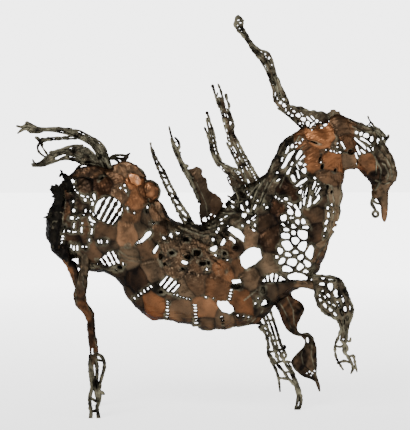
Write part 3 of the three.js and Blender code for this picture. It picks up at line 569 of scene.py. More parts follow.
# Rod: brazing bronze gone nearly black, with a painted grey-green highlight
bronze = patina("bronze_rod_brazed_darkened", plateRamp, "7d715b", ("0e0c09", "8f8972"), 0.38), "bronze_rod"
# Scraps: dark oxidised sheet with little shine, and a dull painted highlight on their rod parts
black = patina("copper_scrap_oxidised_black", scrapRamp, "5c5748", ("14130f", "55523f"), 0.55), "dark_scrap"

# Crest and its windows, which also open the top of the neck: cells [u, v, width, height, turn],
# slits [u, v, u, v, width], ridges (line, width), plates [u, v, reach, tone, olive]

crestWindows = {
    "cells": [(298, 115, 5.4, 3.8, 25), (303.5, 119, 5.4, 4.4, 30), (307.8, 123.5, 3.5, 5),
              (316.5, 121.5, 3.4, 3.6), (320.5, 123.4, 3.4, 3), (325, 125, 4, 3.2, -20),
              (321.5, 127.8, 2.6, 1.8), (312, 130, 2.4, 2), (294, 111.5, 3.6, 1.8, 35),
              (291, 108.6, 2, 1.4, 20), (329, 121.6, 1.6, 2)]
        + [(288.4, 113, 3, 2.2, 40), (292, 115.6, 2.8, 2.4, 40), (295.8, 119.4, 2.8, 2.4, 40),
           (299.6, 123.2, 2.8, 2.6, 40), (302.6, 126.6, 2.2, 2.4, 40)],
    "slits": [(300.6, 113, 304, 116.4, 1.2), (302.6, 123, 305, 126.6, 1.3), (307, 117, 312, 121, 1.8),
              (311.4, 116.6, 314, 119.6, 1.3), (309, 129, 314, 122.4, 1.8), (314.4, 127, 317, 124.6, 1.4),
              (296, 119, 298.6, 121.6, 1.2), (314, 129, 315.4, 127.6, 1)],
}
crest = {
    "outline": [287, 102, 291, 105, 296, 106, 301, 106.4, 306, 108.3, 310, 110, 316, 110.5, 322, 111.5,
                327, 113, 329, 112, 331, 110, 334, 109.5, 338, 111, 342, 115, 345, 117, 355, 122, 363, 124,
                371, 128, 373, 131, 360, 131, 345, 131, 330, 133, 318, 132, 304, 133, 297, 124, 288, 114,
                286, 108],
    "ridges": [
        ([287, 104, 296, 108, 307, 110.4, 320, 113, 330, 114], 1.8), ([289, 114, 297, 122.6, 305, 131], 2),
        ([304, 131, 312, 122, 318, 114], 1.4), ([327, 114, 330, 122, 333, 131], 2),
        ([318, 130, 328, 126, 333, 127], 1.6), ([333, 112, 333, 119, 338, 125, 347, 130], 1.2)],
    "plates": [
        (296, 112, 8, .16, .9), (310, 122, 9, .16, .8), (318, 114, 7, .2, .6), (328, 122, 6, .12, .4),
        (336, 114, 6, .34, .7), (343, 124, 8, .4, .4), (356, 126, 7, .34, .9), (367, 129, 6, .34, .9),
        (333, 130, 5, .14, .5)],
}

# Trunk and neck

trunk = {
    "halfDepth": 55.0, "neckHalfDepth": 27.0, "power": 2 / 2.4, "length": 560.0, "around": 185,
    "wall": 1.1, "pitch": 1.09, "farPitch": 1.95, "nearStrut": 1.5, "farStrut": 1.4, "openStrut": 2.2,
    "openWider": 1.22, "farWider": 0.2, "farShade": 0.6, "split": 0.535, "overlap": 0.002,
    # Heights over the sheet in mm and half widths on the pattern
    "humpHeight": 1.2, "seamHeight": 0.9, "rimHeight": 1.0, "ridgeHeight": 1.5,
    "seamHalf": 0.55, "rimHalf": 0.75, "rimWidth": 0.7, "reliefFrom": 0.9,
    # Braze crust over the saddle: its middle row, and where it fades out down, at the rump and the shoulder
    "crustRow": 259, "crustRows": (30, 16), "crustFrom": (148, 168), "crustTo": (238, 212),
    # [top u, v, bottom u, v, half depth as a share, narrowing towards the top], last the neck's
    "sections": [
        [47.5, 221, 47.5, 233, .1, 0], [49, 214, 49, 239, .32, 0], [54, 196, 55, 252, .62, 0],
        [63, 184, 66, 261, .8, .1], [77, 171, 80, 267, .93, .15], [92, 166, 94, 270, 1, .2],
        [107, 168, 107, 272, 1, .2], [122, 163, 120, 281, 1, .2], [138, 168, 128, 296, 1, .2],
        [150, 187, 138, 308, 1, .2], [160, 204, 152, 317, 1, .15], [172, 221, 168, 318.5, 1, .1],
        [188, 225, 184, 321.6, 1, .1], [206, 224, 205, 327, 1, .1], [220, 214, 222, 327, 1, .3],
        [231, 200, 240, 324, .98, .5], [243, 188, 257, 320, .95, .6], [255, 183, 273, 305, .9, .6],
        [262, 179, 291, 291, .84, .55], [267, 173, 313, 275, .77, .5]],
    "neckSections": [
        [273, 161, 328, 240, 1.34, .4], [279, 149, 339, 207, 1.12, .3], [284, 142, 341, 184, 1.04, .25],
        [295, 134, 343.5, 171, 1, .2], [308, 128, 347, 168, .96, .2], [322, 125, 350.5, 167.5, .9, .2],
        [335, 115, 353, 167.5, .85, .2], [346, 119, 355.5, 168, .76, .2]],
    # Slatted windows: outline, bars, radius of the bars
    "slatted": [
        ([99, 200, 106, 197, 112, 197, 118, 200, 123, 207, 122, 214, 119, 220, 113, 225, 107, 223, 98, 219,
          95, 213, 95, 207],
         [(96, 217, 107, 195.6), (100, 221.6, 112.6, 197.6), (104.5, 224, 118, 200), (109, 226, 122.6, 205),
          (113.6, 226, 124, 212)], 1.95),
        ([97, 261, 103, 257, 108, 252, 114, 251, 118, 255, 120, 263, 110, 266, 104, 265],
         [(97, 258, 103, 266), (101, 256, 109, 268), (105.5, 253, 113.5, 267), (110, 251, 117, 265),
          (114, 250, 120, 261)], 1.3),
        ([158, 285, 167, 276, 174, 279, 180, 285, 174, 292, 168, 292, 163, 287],
         [(159, 291, 170, 276), (164.5, 291, 175, 279), (169, 292.5, 179, 282)], 1.4),
        ([262, 282, 266, 276, 273, 273, 280, 275.5, 287, 281],
         [(265, 276, 267, 283), (268.8, 273, 270, 283), (274.5, 272, 273.5, 283), (279.5, 274, 277, 283)], 1.15)],
    # Outlines of the large windows, the notch of the rump, the withers' gaps and the slits of the neck
    "outlines": [
        [253, 247, 260, 248, 262, 258, 255, 264, 246, 269, 241, 265, 240, 257, 246, 250],
        [227.6, 230.4, 229.4, 227.4, 232, 226.6, 238, 229, 242.6, 233.4, 244.6, 237, 244, 242, 240, 239,
         233, 234.4], [230, 236, 236, 241, 235, 244, 229, 239], [224, 238, 226, 241, 222, 246, 220, 245],
        [212, 238, 215, 239, 212, 243], [211, 248, 216, 245, 217, 249, 214, 252, 210, 250],
        [213, 253, 219, 256, 215, 256.4], [182, 260, 189, 262, 186, 265, 181, 263],
        [207, 267, 209, 271, 205, 271], [231, 280, 240, 279, 241, 283, 233, 284],
        [217, 301, 227, 301, 233, 307, 234, 311, 230, 314, 222, 312, 217, 305],
        [260, 304, 263, 300, 269, 300, 267, 304, 262, 306],
        [134.4, 243.4, 142, 238.4, 146.4, 232.6, 150.4, 230, 152, 233.6, 148, 238, 143, 241.8, 136, 245],
        [157, 244, 158.4, 247, 155, 254, 152, 253], [122, 262, 127, 265, 123, 265.4],
        [168.5, 236, 171.5, 232.5, 173, 236, 171, 239], [174, 231, 181, 233, 177, 234.5],
        [71, 259, 79, 257, 78, 265],
        [40, 197.4, 55.4, 197.6, 54.4, 201, 53, 206, 50.6, 213, 47, 214, 40, 210],
        [71, 179.4, 72.6, 178.6, 74.6, 181, 75, 183.4, 73, 184, 71.6, 182],
        [93, 193.6, 94.6, 193.6, 96, 199, 95, 201, 92.4, 196], [85, 245.4, 88.2, 246.6, 86, 248.8],
        [246.6, 184, 248.8, 186.6, 250.2, 189.8, 243, 189.6, 245, 187],
        [240, 191.2, 241.8, 192, 246.6, 198, 244.8, 199.4, 241.2, 198.8, 238, 193],
        [245.2, 201.2, 247.2, 200.6, 248.4, 203, 247.8, 205.4, 246.4, 205.6],
        [239.8, 204.4, 241.6, 204.4, 244.8, 211, 243, 211.2, 240.4, 208],
        [230.4, 203.4, 232.2, 205.2, 234.8, 207.6, 232.6, 209.2],
        [225.8, 204.4, 227.6, 209, 225.2, 208.2, 224.6, 206.4],
        [241.8, 213.4, 245.8, 213, 247, 215.6, 244.6, 218.2, 241.4, 216.6],
        [245.6, 221.6, 248.6, 219.8, 250.2, 221.6, 249.6, 223.4, 246.4, 223],
        [255.8, 222.4, 256.2, 227.8, 254.2, 226, 253.6, 224.2],
        [223.2, 217.6, 227.8, 215, 228.6, 216, 225.4, 218.2],
        [219.4, 199.8, 221.8, 201, 222, 204.6, 219.8, 204],
        [288, 144.8, 289.6, 147, 289, 151.6, 286.6, 153.2, 284.8, 154.4, 286.4, 149.8],
        [294, 150.4, 295.6, 150.8, 291.6, 155.8, 289.6, 160, 286, 166.2, 283.4, 168.4, 280.8, 168,
         284.4, 162, 288, 154.4],
        [300, 149.8, 302, 150.6, 302, 154.4, 298.6, 158.2, 296, 160.6, 296.2, 156.8, 298.4, 151.4],
        [298.4, 161.6, 299.8, 160.8, 302.6, 163.6, 300.6, 166.2, 297.6, 163.6],
        [304.4, 163, 307.2, 164.6, 302, 167.2, 302.8, 165],
        [303, 168.4, 304.6, 167.6, 306.2, 168.4, 306.2, 173, 305.2, 174.2, 303.4, 172.8, 300.8, 170],
        [290.6, 167, 291.8, 167.6, 288.6, 174.2, 286.6, 175, 286.2, 173.6, 288, 171],
        [295.2, 169.8, 297.2, 170.2, 300.2, 176, 300, 178.2, 298.2, 178.2],
        [292, 174.8, 293.8, 174.8, 296.2, 180.6, 295, 182.4, 293.6, 182.4, 291, 177],
        [307.8, 177.6, 307.4, 179.8, 298, 186.8, 296, 187.4, 295.4, 185.6, 301.6, 180.2],
        [307.6, 186.2, 308.2, 188, 306.2, 198, 304.6, 205.2, 303.4, 206.4, 302.6, 205, 305, 193],
        [310, 195.6, 311.2, 196, 311.2, 204, 309.6, 206.6, 307, 208, 306.6, 206.6, 308.4, 203],
        [300.4, 188.8, 302.2, 189.6, 302.2, 193, 300, 194.6, 297.8, 193.4],
        [298.8, 200.8, 299.2, 206, 296.8, 203.2],
        [296, 203.2, 299.4, 210.2, 297.4, 210.2, 294, 207.2, 293.6, 205],
        [286.8, 202, 289, 201.8, 292.6, 204, 291.4, 206.2],
        [286, 206, 287.4, 205.4, 292.2, 208.6, 291.4, 209.6],
        [294, 144.2, 295.6, 142, 298, 141.2, 296.6, 144],
        [314.2, 180.4, 316, 181.4, 316.2, 184, 312.6, 191, 311.4, 190.8, 314, 183.6],
        [316.6, 186.2, 317.6, 187.4, 314.4, 194, 313.2, 194.6],
        [319, 193.4, 320, 196, 319.6, 199.2, 314, 204.4, 312.4, 203.4, 316, 199]],
    "honeycomb": [
        (290.9, 212.4, 6, 5), (297, 213, 5, 7, -25), (284.7, 218, 6.5, 5.5, -20), (291, 218, 6.5, 3.5),
        (297, 222, 5.5, 5.5), (303, 222, 4, 5.4, -30), (284, 225, 4, 3.6), (288.7, 223.4, 3.4, 5.4, 20),
        (293.7, 226, 5, 5.5), (304.5, 227.5, 6.5, 4.4), (286.5, 229.6, 6.6, 4.2), (293.5, 233, 5.5, 5.4),
        (302, 234.5, 9, 9), (286, 236, 7.6, 6.4), (295.5, 241, 8.4, 8.4), (287.5, 245.5, 11, 9, 20),
        (302, 246.5, 9, 8.6), (309, 253, 6.4, 12, 12), (281, 251, 5.6, 8), (295.5, 252, 7, 4.4),
        (277.5, 257, 3.4, 4.6), (288.5, 254.8, 9.5, 4.2, 10), (301, 257.4, 6, 6), (282.5, 260.8, 7, 6, -20),
        (306.5, 262, 5.4, 9, -30), (292, 262.4, 10, 8, 10), (287.5, 268.4, 9, 6.4, 15),
        (300, 266.8, 7, 6.6, 45), (305, 271.4, 6, 4, 20), (297.5, 277, 16, 6.6, 4)],
    "cells": [(73, 187.4, 3.6, 3.2), (75, 190, 1.6, 1.8), (85.2, 200, 2.2, 2.8), (92.6, 204, 2, 3.4, 15),
              (73.4, 201.6, 1.3, 2.6), (73.6, 210.6, 2.6, 3), (85.6, 211, 1.5, 3.4), (72, 218, 3.8, 3),
              (90.8, 211, 1.3, 3), (89.8, 217.4, 2, 2), (82.2, 223.6, 1.4, 2), (65.2, 227, 1.4, 1.8),
              (63.6, 231, 2, 2.4), (59.6, 245.6, 1.6, 1.4), (56.4, 245, 1.3, 2), (71, 246.4, 1.6, 3.4),
              (74, 248, 1.8, 4.6), (77, 248, 1.9, 5.4), (83, 246.6, 2, 1.6), (55.4, 223.8, 1.5, 2.4),
              (104.6, 241.6, 1.6, 2.6), (120.6, 188, 2, 2), (124.6, 185.4, 1.6, 2.6, 30),
              (125.6, 191, 1.3, 3.4, -35), (127.6, 208.4, 1.4, 2.6, -30), (134.2, 213, 1.8, 1.8),
              (147.4, 207, 2, 2.6), (145.6, 211.4, 1.4, 1.4), (147.6, 200, 1.4, 1.6), (153.4, 223, 3, 1.6),
              (164, 238, 1.4, 3, -35), (127.4, 244.6, 3, 1.6, -20), (102, 178.4, 1.4, 3.2, 40),
              (84.8, 173.4, 1.3, 3, -15), (116.6, 269, 1.6, 1.6), (100, 262, 1.2, 3, -40),
              (220.8, 219.4, 2.8, 2), (222, 223.4, 2, 2.2), (205, 220.4, 3.4, 3.4), (209, 226, 1.4, 1.6),
              (214, 224.6, 1.2, 1.2), (218.4, 229, 2, 2.6), (226, 271.6, 2.4, 1.4, -40),
              (227.8, 226.4, 1.8, 1.4), (206, 297, 2.4, 1.4), (213.4, 298.4, 1.6, 1.2),
              (227.6, 260, 1.6, 1.2), (223, 258.6, 2.6, 1.2, -10), (258, 298.6, 1.4, 1.6),
              (255, 303.6, 1.6, 2.4), (261, 291, 1.2, 1.2), (216.6, 232, 1.6, 2.8, -20), (246.8, 192.4, 2, 2),
              (251, 197, 1.8, 2.2), (254.2, 190.6, 1.5, 1.6), (259.6, 183.6, 2.2, 1.6), (248, 210.6, 2, 2.8),
              (257.6, 200.6, 1.4, 1.5), (263.6, 204.6, 1.8, 1.3, -30), (231.4, 197.4, 1.5, 1.9),
              (237.6, 190.6, 1.6, 1.4), (242.6, 226, 3, 1.5, 25), (250.8, 227.6, 1.4, 1.4),
              (267, 207.4, 2.8, 1.5, -20), (299.7, 143, 2, 2.6), (302.5, 139.6, 1.5, 2.2),
              (292.2, 146, 3, 3.6), (296.4, 146.6, 2.4, 1.5, -30), (315, 178.4, 2, 2.4), (318, 184, 1.5, 1.5),
              (286, 198.8, 3.6, 2.2, 10), (282, 200.6, 2, 1.6), (279, 198.6, 1.8, 1.4), (276, 197, 1.6, 2),
              (277, 173, 2, 1.4), (350.4, 152, 5, 4), (337.5, 143.5, 1.4, 1.5), (337.5, 147, 1.6, 1.8),
              (326, 150, 1.3, 1.3), (330.8, 151, 1.6, 1.6), (334, 151.5, 1.2, 1.2), (336.7, 152.7, 1.2, 1.2),
              (340, 152.4, 1.8, 1.6), (320.6, 162.2, 1.4, 2), (327.6, 208, 1.8, 3), (328, 215, 2, 4.4),
              (326.6, 222.6, 2.4, 5, 12), (325, 229.4, 1.8, 4, 20), (333, 228, 1.4, 2.6, 25),
              (335, 222, 1.2, 1.6), (323.6, 236, 1.4, 2), (331.6, 205, 1.3, 2), (333.4, 212, 1.3, 2.4)],
    "slits": [(71, 190.4, 72.2, 192, 1.3), (76.6, 192.4, 78.4, 193.6, 1.1), (81, 195.4, 83.8, 196.6, 1.2),
              (87, 196.6, 89.6, 197.6, 1.3), (90, 198.2, 92.4, 200.4, 1.3), (82, 216.4, 84.6, 214, 1.2),
              (76, 219.2, 78.6, 217.6, 1.3), (92.6, 213.4, 93.8, 216, 1.1), (90, 220.6, 94.8, 221.8, 1.7),
              (90.8, 223.6, 92.6, 225, 1.4), (74.4, 223.4, 73.6, 227.4, 1.1), (81.6, 227.8, 81.8, 232.4, 1.4),
              (92, 229.2, 91, 233.8, 1.3), (68.2, 230.6, 70.6, 232, 1.2), (71.6, 232.3, 76, 231.8, 1.1),
              (61, 236.4, 63.4, 236.4, 1.3), (60, 239.8, 63.2, 239, 1.3), (61, 243.4, 62.6, 241.8, 1.2),
              (54, 241, 55.2, 242.4, 1.2), (89.6, 239, 89.6, 241, 1.2), (126, 246.4, 129.6, 244.4, 1.2),
              (299.9, 159.2, 304.4, 156.4, 1.5), (292.6, 162.8, 291.2, 164.8, 1.5),
              (299.6, 187.2, 307.6, 181.6, .8), (303.6, 187, 308.4, 182, .8), (303.4, 190, 302.4, 199.6, 1),
              (300.6, 202.4, 300.4, 208, 1.4), (320.4, 187.4, 315.8, 195.2, 1),
              (282.6, 157.8, 281.8, 161, 1.3), (277, 181, 279.4, 179, 1.2), (247.6, 194.8, 250.6, 193.4, 1.4),
              (255.6, 205.6, 253.6, 209, 1.3), (230.8, 200.8, 234.2, 202.6, 1.1),
              (251.8, 218.8, 255.4, 215.8, 1.2), (253.6, 221, 255.8, 218.2, 1.1),
              (252.6, 229.2, 254.4, 231.4, 1.2), (236.6, 195.4, 237.2, 198, 1.1), (341, 142, 344.6, 148, 1.4),
              (296.6, 165, 299, 169.6, .8)],
    # Rows of stitches: first u, v, last u, v, count, length, width
    "seams": [(195, 305, 196.4, 325.6, 8, 2.4, 1.5), (167.6, 307, 167.2, 316.4, 4, 1.6, 1.5),
              (167.6, 301.6, 167.4, 303.6, 2, .8, 1.6), (134.6, 298, 151, 286.4, 6, 1.2, 1.5),
              (221.6, 316.4, 223.4, 325.8, 4, 1.2, 1.1), (238, 315.4, 248.4, 317, 3, .5, 1.4),
              (231.2, 290, 229.6, 299, 4, 1.6, 1.3), (174, 294.4, 190, 299.4, 6, .2, 1.1),
              (98.4, 242, 107, 241.4, 4, 2.6, 1.2), (97, 264, 90, 267, 3, .5, 1)],
    "nearCells": [
        (186, 240, 5, 4), (197, 253.4, 6, 5.4), (203, 263.4, 6, 3), (160.6, 257, 3.4, 5), (187, 257, 5, 3.4),
        (172, 253, 4, 2.4), (215.6, 243, 2.4, 3.4), (224, 253.6, 3.6, 3), (235, 248, 4.6, 3.4),
        (120, 267.4, 4.4, 3.4), (165, 264, 4, 2.4), (183, 269, 3, 2.2), (208, 263, 3, 3.6),
        (235.6, 286.6, 9, 4.4), (161, 291.6, 4, 3.4), (327.4, 186.6, 2.4, 2.4), (331, 192, 2, 2.6),
        (322, 166.6, 2.6, 4, 20), (314, 142.6, 7, 1.1, 20), (320, 158.6, 1.2, 4, 20), (334.6, 170, 2.4, 3),
        (263, 290, 4, 6)],
    # tone runs from black over brown to orange and pink-tan; the pale plates at (128, 232) and (134, 180) are
    # painted highlights
    "plates": [
        # The near-black plates at the rump's left edge, u 54 to 62, are partly dark scrap and partly painted
        # shade of the rump's rear side
        (56, 206, 9, .04, .2), (54, 229, 9, .04, .2), (62, 250, 9, .06, .2), (67, 191, 7, .17, .1),
        (66, 211, 8, .22, .1), (72, 223, 5, .2, .2), (71, 238, 7, .2, .1), (79, 174, 6, .26, .1),
        (93, 171, 8, .3, .2), (85, 187, 9, .12, .2), (103, 187, 9, .25, 0), (78, 205, 7, .13, .2),
        (86, 222, 5, .3, .3), (86, 234, 6, .27, .2), (104, 231, 10, .28, .3), (128, 232, 9, .6, .4),
        (140, 228, 6, .28, .6), (118, 175, 7, .36, .2), (129, 166, 7, .5, .5), (134, 180, 7, .74, 0),
        (120, 194, 7, .42, .4), (136, 200, 8, .55, .1), (149, 191, 9, .58, .1), (157, 213, 8, .4, .4),
        (134, 218, 7, .38, .2), (146, 220, 6, .24, .5), (147, 249, 8, .36, .3), (93, 252, 8, .32, .3),
        (82, 262, 6, .28, .7), (104, 246, 6, .2, .5), (160, 234, 8, .28, .3), (174, 228, 6, .28, .8),
        (130, 259, 7, .36, .6), (120, 277, 6, .14, .5), (137, 280, 11, .13, .1), (127, 292, 6, .2, .5),
        (154, 305, 11, .52, 0), (142, 307, 4, .2, .3), (180, 309, 11, .4, .4), (205, 308, 10, .58, .2),
        (206, 322, 8, .28, .4), (224, 321, 8, .42, .5), (243, 303, 11, .42, 0), (243, 320, 7, .32, .2),
        (257, 300, 5, .16, .5), (216, 288, 10, .42, .1), (196, 283, 9, .34, .3), (226, 270, 8, .5, .1),
        (236, 268, 6, .38, .2), (231, 250, 8, .28, .2), (170, 245, 9, .27, .5), (192, 231, 8, .13, .9),
        (209, 233, 8, .15, .9), (190, 249, 9, .3, .4), (207, 252, 7, .32, .35), (176, 264, 9, .32, .4),
        (198, 265, 9, .26, .3), (151, 271, 8, .3, .5), (172, 297, 5, .32, .4), (162, 290, 4, .08, .5),
        (186, 291, 5, .38, .6), (250, 237, 8, .48, .6), (236, 228, 7, .22, .8), (222, 226, 6, .16, .8),
        (262, 224, 8, .17, .2), (271, 240, 12, .2, .1), (268, 263, 11, .34, .7), (250, 277, 8, .36, .5),
        (268, 286, 8, .2, .4), (285, 284, 7, .2, .3), (321, 137, 13, .68, 0), (304.5, 146, 6, .48, .1),
        (312, 158, 11, .5, 0), (333, 161, 11, .58, 0), (329, 177, 8, .38, .3), (347, 162, 8, .44, .5),
        (348, 143, 8, .4, .1), (338, 147, 4, .34, .8), (343, 127, 8, .36, .3), (288, 190, 10, .13, 0),
        (280, 206, 7, .18, 0), (303, 222, 5, .3, .4), (314, 214, 9, .25, .3), (317, 234, 9, .2, .2),
        (314, 254, 7, .34, .4), (323, 202, 5, .12, .4), (332, 198, 6, .5, .9), (333, 214, 6, .5, .9),
        (330, 230, 6, .5, .9), (322, 245, 5, .44, .7), (270, 184, 7, .2, .8), (276, 166, 7, .2, .8),
        (286, 150, 7, .14, .8), (300, 160, 7, .16, .8), (297, 180, 8, .14, .8), (308, 195, 7, .16, .7),
        (260, 205, 8, .14, .8), (247, 205, 9, .12, .8), (236, 208, 8, .12, .8), (295, 230, 9, .14, .7),
        (292, 255, 9, .12, .6), (320, 190, 5, .14, .7), (310, 272, 6, .24, .7), (244, 190, 6, .1, .8),
        (322, 152, 3, .42, .3)],
    # Rods brazed along the plates
    "ridges": [
        ([295, 134, 286, 141, 280, 152, 273, 168, 266, 180, 259, 190], 2.2),
        ([300, 137, 292, 149, 283, 163, 276, 176, 268, 190, 262, 204], 1.8),
        ([303, 147, 296, 153, 290, 164, 285, 176, 280, 188], 1.6), ([302, 160, 295, 172, 291, 182], 1.6),
        ([291, 165, 298, 178, 303, 184], 1.4), ([299, 160, 303, 172, 310, 180], 1.4),
        ([311, 180, 305, 196, 303, 208], 1.6), ([313, 178, 309, 192, 307, 206], 1.4),
        ([318, 180, 311, 197, 308, 210], 1.6), ([321, 186, 316, 198, 310, 206], 1.4),
        ([280, 262, 284, 255, 289, 251, 295, 254, 300, 260, 306, 268, 311, 276], 2.6),
        ([340, 184, 338.6, 198, 338, 212, 335, 226, 328, 238, 320, 250, 313, 264, 310, 276], 2),
        ([331, 186, 333, 200, 332, 214, 330, 227, 323, 240], 1.4),
        ([324, 184, 327, 196, 329, 210, 327, 224], 1.8), ([243, 185, 248, 200, 252, 214, 256, 230], 2.4),
        ([236, 190, 243, 204, 250, 218, 257, 232], 1.8), ([259, 190, 252, 204, 244, 216, 234, 224], 1.8),
        ([258, 200, 248, 210, 238, 212], 1.6), ([262, 184, 257, 196, 256, 214], 1.8),
        ([240, 196, 246, 190, 254, 188], 1.4), ([228, 205, 234, 212, 242, 214, 252, 224], 1.6),
        ([265, 200, 258, 210, 250, 216], 1.4),
        ([185, 224, 192, 230, 203, 233, 216, 229, 228, 226, 240, 231], 2.6),
        ([178, 227, 190, 233, 204, 237, 216, 234], 2), ([244, 300, 256, 290, 262, 284], 1.6),
        ([196, 327, 222, 328, 250, 322, 262, 310], 1.6), ([64, 182, 66, 200, 64, 216, 60, 236, 62, 252], 1.6),
        ([50, 214, 60, 212, 66, 214], 1.2), ([72, 192, 82, 195, 92, 203, 95, 212], 1.4),
        ([76, 218, 86, 214, 94, 206], 1.2), ([52, 240, 57, 247, 63, 254], 1.2),
        ([56, 238, 61, 244, 66, 252], 1.2), ([88, 264, 96, 266, 110, 268.6, 120, 268], 1.8),
        ([86, 261, 96, 263], 1.4), ([118, 250, 128, 256, 144, 258], 1.4),
        ([119, 256, 130, 260, 142, 262], 1.2), ([143, 206, 148, 203, 153, 206], 1.4),
        ([122, 205, 128, 212, 134, 214], 2.2), ([262, 258, 256, 265, 247, 270], 2.4),
        ([334, 132, 338, 142, 337, 152, 346, 153, 352, 153], 1.8),
        ([168, 276, 158, 286, 162, 292, 172, 294], 1.6)],
}


def stitched(u, v, lastU, lastV, count, length, width):
    # A row of short slots between two plates, square to the row
    a, b = np.array([u, v], float), np.array([lastU, lastV], float)
    along = (b - a) / np.linalg.norm(b - a)
    across = np.array([-along[1], along[0]]) * length / 2
    spots = [a + (b - a) * i / (count - 1) for i in range(count)]
    return [(*(p - across), *(p + across), width) for p in spots]


throughWindows = {
    "outlines": trunk["outlines"], "slatted": [outline for outline, _, _ in trunk["slatted"]],
    "cells": trunk["cells"] + crestWindows["cells"],
    "slits": trunk["slits"] + crestWindows["slits"] + [s for seam in trunk["seams"] for s in stitched(*seam)],
}
openCells = {"cells": [(u, v, *(trunk["openWider"] * size for size in (w, h)), *angle)
                       for u, v, w, h, *angle in trunk["honeycomb"]]}
trunkRows = spline([[*s[:4], s[4] * trunk[half], s[5]] for sections, half in
                    (("sections", "halfDepth"), ("neckSections", "neckHalfDepth"))
                    for s in trunk[sections]], 0.5)


def trunkPoints(place, angle):
    # Point on the oval skin: place 0 to 1 from rump to head, angle from the top line past the near side
    at = np.linspace(0, 1, len(trunkRows))
    s = np.stack([np.interp(place, at, column) for column in trunkRows.T], -1)
    high, out = (np.sign(c) * np.abs(c) ** trunk["power"] for c in (np.cos(angle), np.sin(angle)))
    share = 0.5 - 0.5 * high
    points = sight(*between(s, share), 0 * share)
    points[..., 1] -= s[..., 4] * out * (1 - s[..., 5] * (1 - share))
    return points


def outwardNormals(points, middle):
    normals = unit(np.cross(np.gradient(points, axis=0), np.gradient(points, axis=1)))
    return normals * np.sign(((points - middle) * normals).sum(-1).mean())


def skinSide(start, end, fromAngle, toAngle, near):
    # One side of the shell, cut by its windows, between two places along the horse
    pitch = trunk["pitch"] if near else trunk["farPitch"]
    place = np.linspace(start, end, int((end - start) * trunk["length"] / pitch))[:, None]
    steps = int(np.abs(toAngle - fromAngle) / np.pi * trunk["around"] / pitch)
    angle = np.linspace(fromAngle, toAngle, steps)
    place, angle = np.broadcast_arrays(place, angle[None, :])
    points = trunkPoints(place, angle)
    topLine, underLine = (trunkPoints(place[:, :1], angle[:, :1] * 0 + a) * 0.5 for a in (0, np.pi))
    normals = outwardNormals(points, topLine + underLine)
    flat = patternOf(points)
    field = windowField(flat, throughWindows, strut=trunk["nearStrut" if near else "farStrut"])
    field = field - (0.0 if near else trunk["farWider"])
    field = np.minimum(field, windowField(flat, openCells, strut=trunk["openStrut"]))
    if near:
        field = np.minimum(field, windowField(flat, {"cells": trunk["nearCells"]}, seed=9))
    gap, tone, olive = plateField(flat, trunk["plates"])
    rods = ridgeField(flat, trunk["ridges"])
    crust = (smooth(*trunk["crustRows"], np.abs(flat[..., 1] - trunk["crustRow"]))
             * smooth(*trunk["crustFrom"], flat[..., 0]) * smooth(*trunk["crustTo"], flat[..., 0]))
    seam, rimRod = dome(gap / trunk["seamHalf"]), dome((field - trunk["rimHalf"]) / trunk["rimHalf"])
    lumps = (ripple(points, 7, 21) * (0.25 + 0.6 * crust) + ripple(points, 3.6, 23) * 0.5 * crust
             + ripple(points, 22, 22) * 0.7)
    hump = trunk["humpHeight"] * smooth(0, 4, gap)
    wall = trunk["wall"] * bulge(field / trunk["rimWidth"])
    offRim = smooth(0, trunk["reliefFrom"], field)
    front = wall + offRim * (hump + lumps + trunk["seamHeight"] * seam * smooth(0, 2, gap + 1))
    front = front + trunk["rimHeight"] * rimRod * smooth(6, 2, field)
    front = front + trunk["ridgeHeight"] * rods * smooth(0, 0.6, field)
    back = wall - offRim * 0.5 * hump
    # Darker in the seams and at the windows, with painted shade in a wider band that darkens each plate towards
    # its seams; painted light makes the skin a little lighter where it faces up, and the far side is painted
    # darker as shade
    tone = (tone + 0.05 * ripple(flat, 16, 31) - 0.13 * smooth(0.9, 0, gap) - 0.1 * smooth(3.4, 0, gap)
            - 0.1 * smooth(1.6, 0.3, field))
    tone = (tone + 0.05 * (normals[..., 2] - 0.2)) * (1 if near else trunk["farShade"])
    lace = smooth(3.2, 1.6, field) * 0.75
    lace = np.maximum(lace * (tone < 0.3), 0.6 * smooth(1.2, 0.4, field))
    rodShare = np.clip(np.maximum(rods * 0.9, lace), 0, 1)
    return closedSheet(points, normals, field, np.maximum(front, leastSkin), np.maximum(back, leastSkin),
                       [np.clip(tone, 0, 1), olive, rodShare, crust])


skinPlaces, skinAngles = np.meshgrid(np.linspace(0, 1, 300), np.linspace(0.08, np.pi - 0.08, 90),
                                     indexing="ij")
nearSkin = trunkPoints(skinPlaces, skinAngles).reshape(-1, 3)
nearSkinPattern = patternOf(nearSkin)


def onSkin(bar, sunk):
    # Points of a straight bar at a depth under the near skin
    return [(*p, nearSkin[((nearSkinPattern - p) ** 2).sum(1).argmin(), 1] - frameShift[1] + sunk)
            for p in spline(pairsOf(bar), 4)]


past = 0.12  # the near side reaches past the top and bottom lines
rear = skinSide(0.0, trunk["split"] + trunk["overlap"], -past, np.pi + past, True)
piece("trunk_near_rump_and_barrel", [rear], copper, "body_shell")
fore = skinSide(trunk["split"] - trunk["overlap"], 1.0, -past, np.pi + past, True)
piece("trunk_near_shoulder_and_neck", [fore], copper)
piece("trunk_far_side", [skinSide(0.0, 1.0, -0.02, -np.pi + 0.02, False)], copper)
piece("trunk_slats", [tube(onSkin(bar, 0.4), [radius], (0.04, 0.3, 0.2, 0), seed=i, lumps=0.3)
                      for _, bars, radius in trunk["slatted"] for i, bar in enumerate(bars)], bronze)
print("trunk done")

# Head

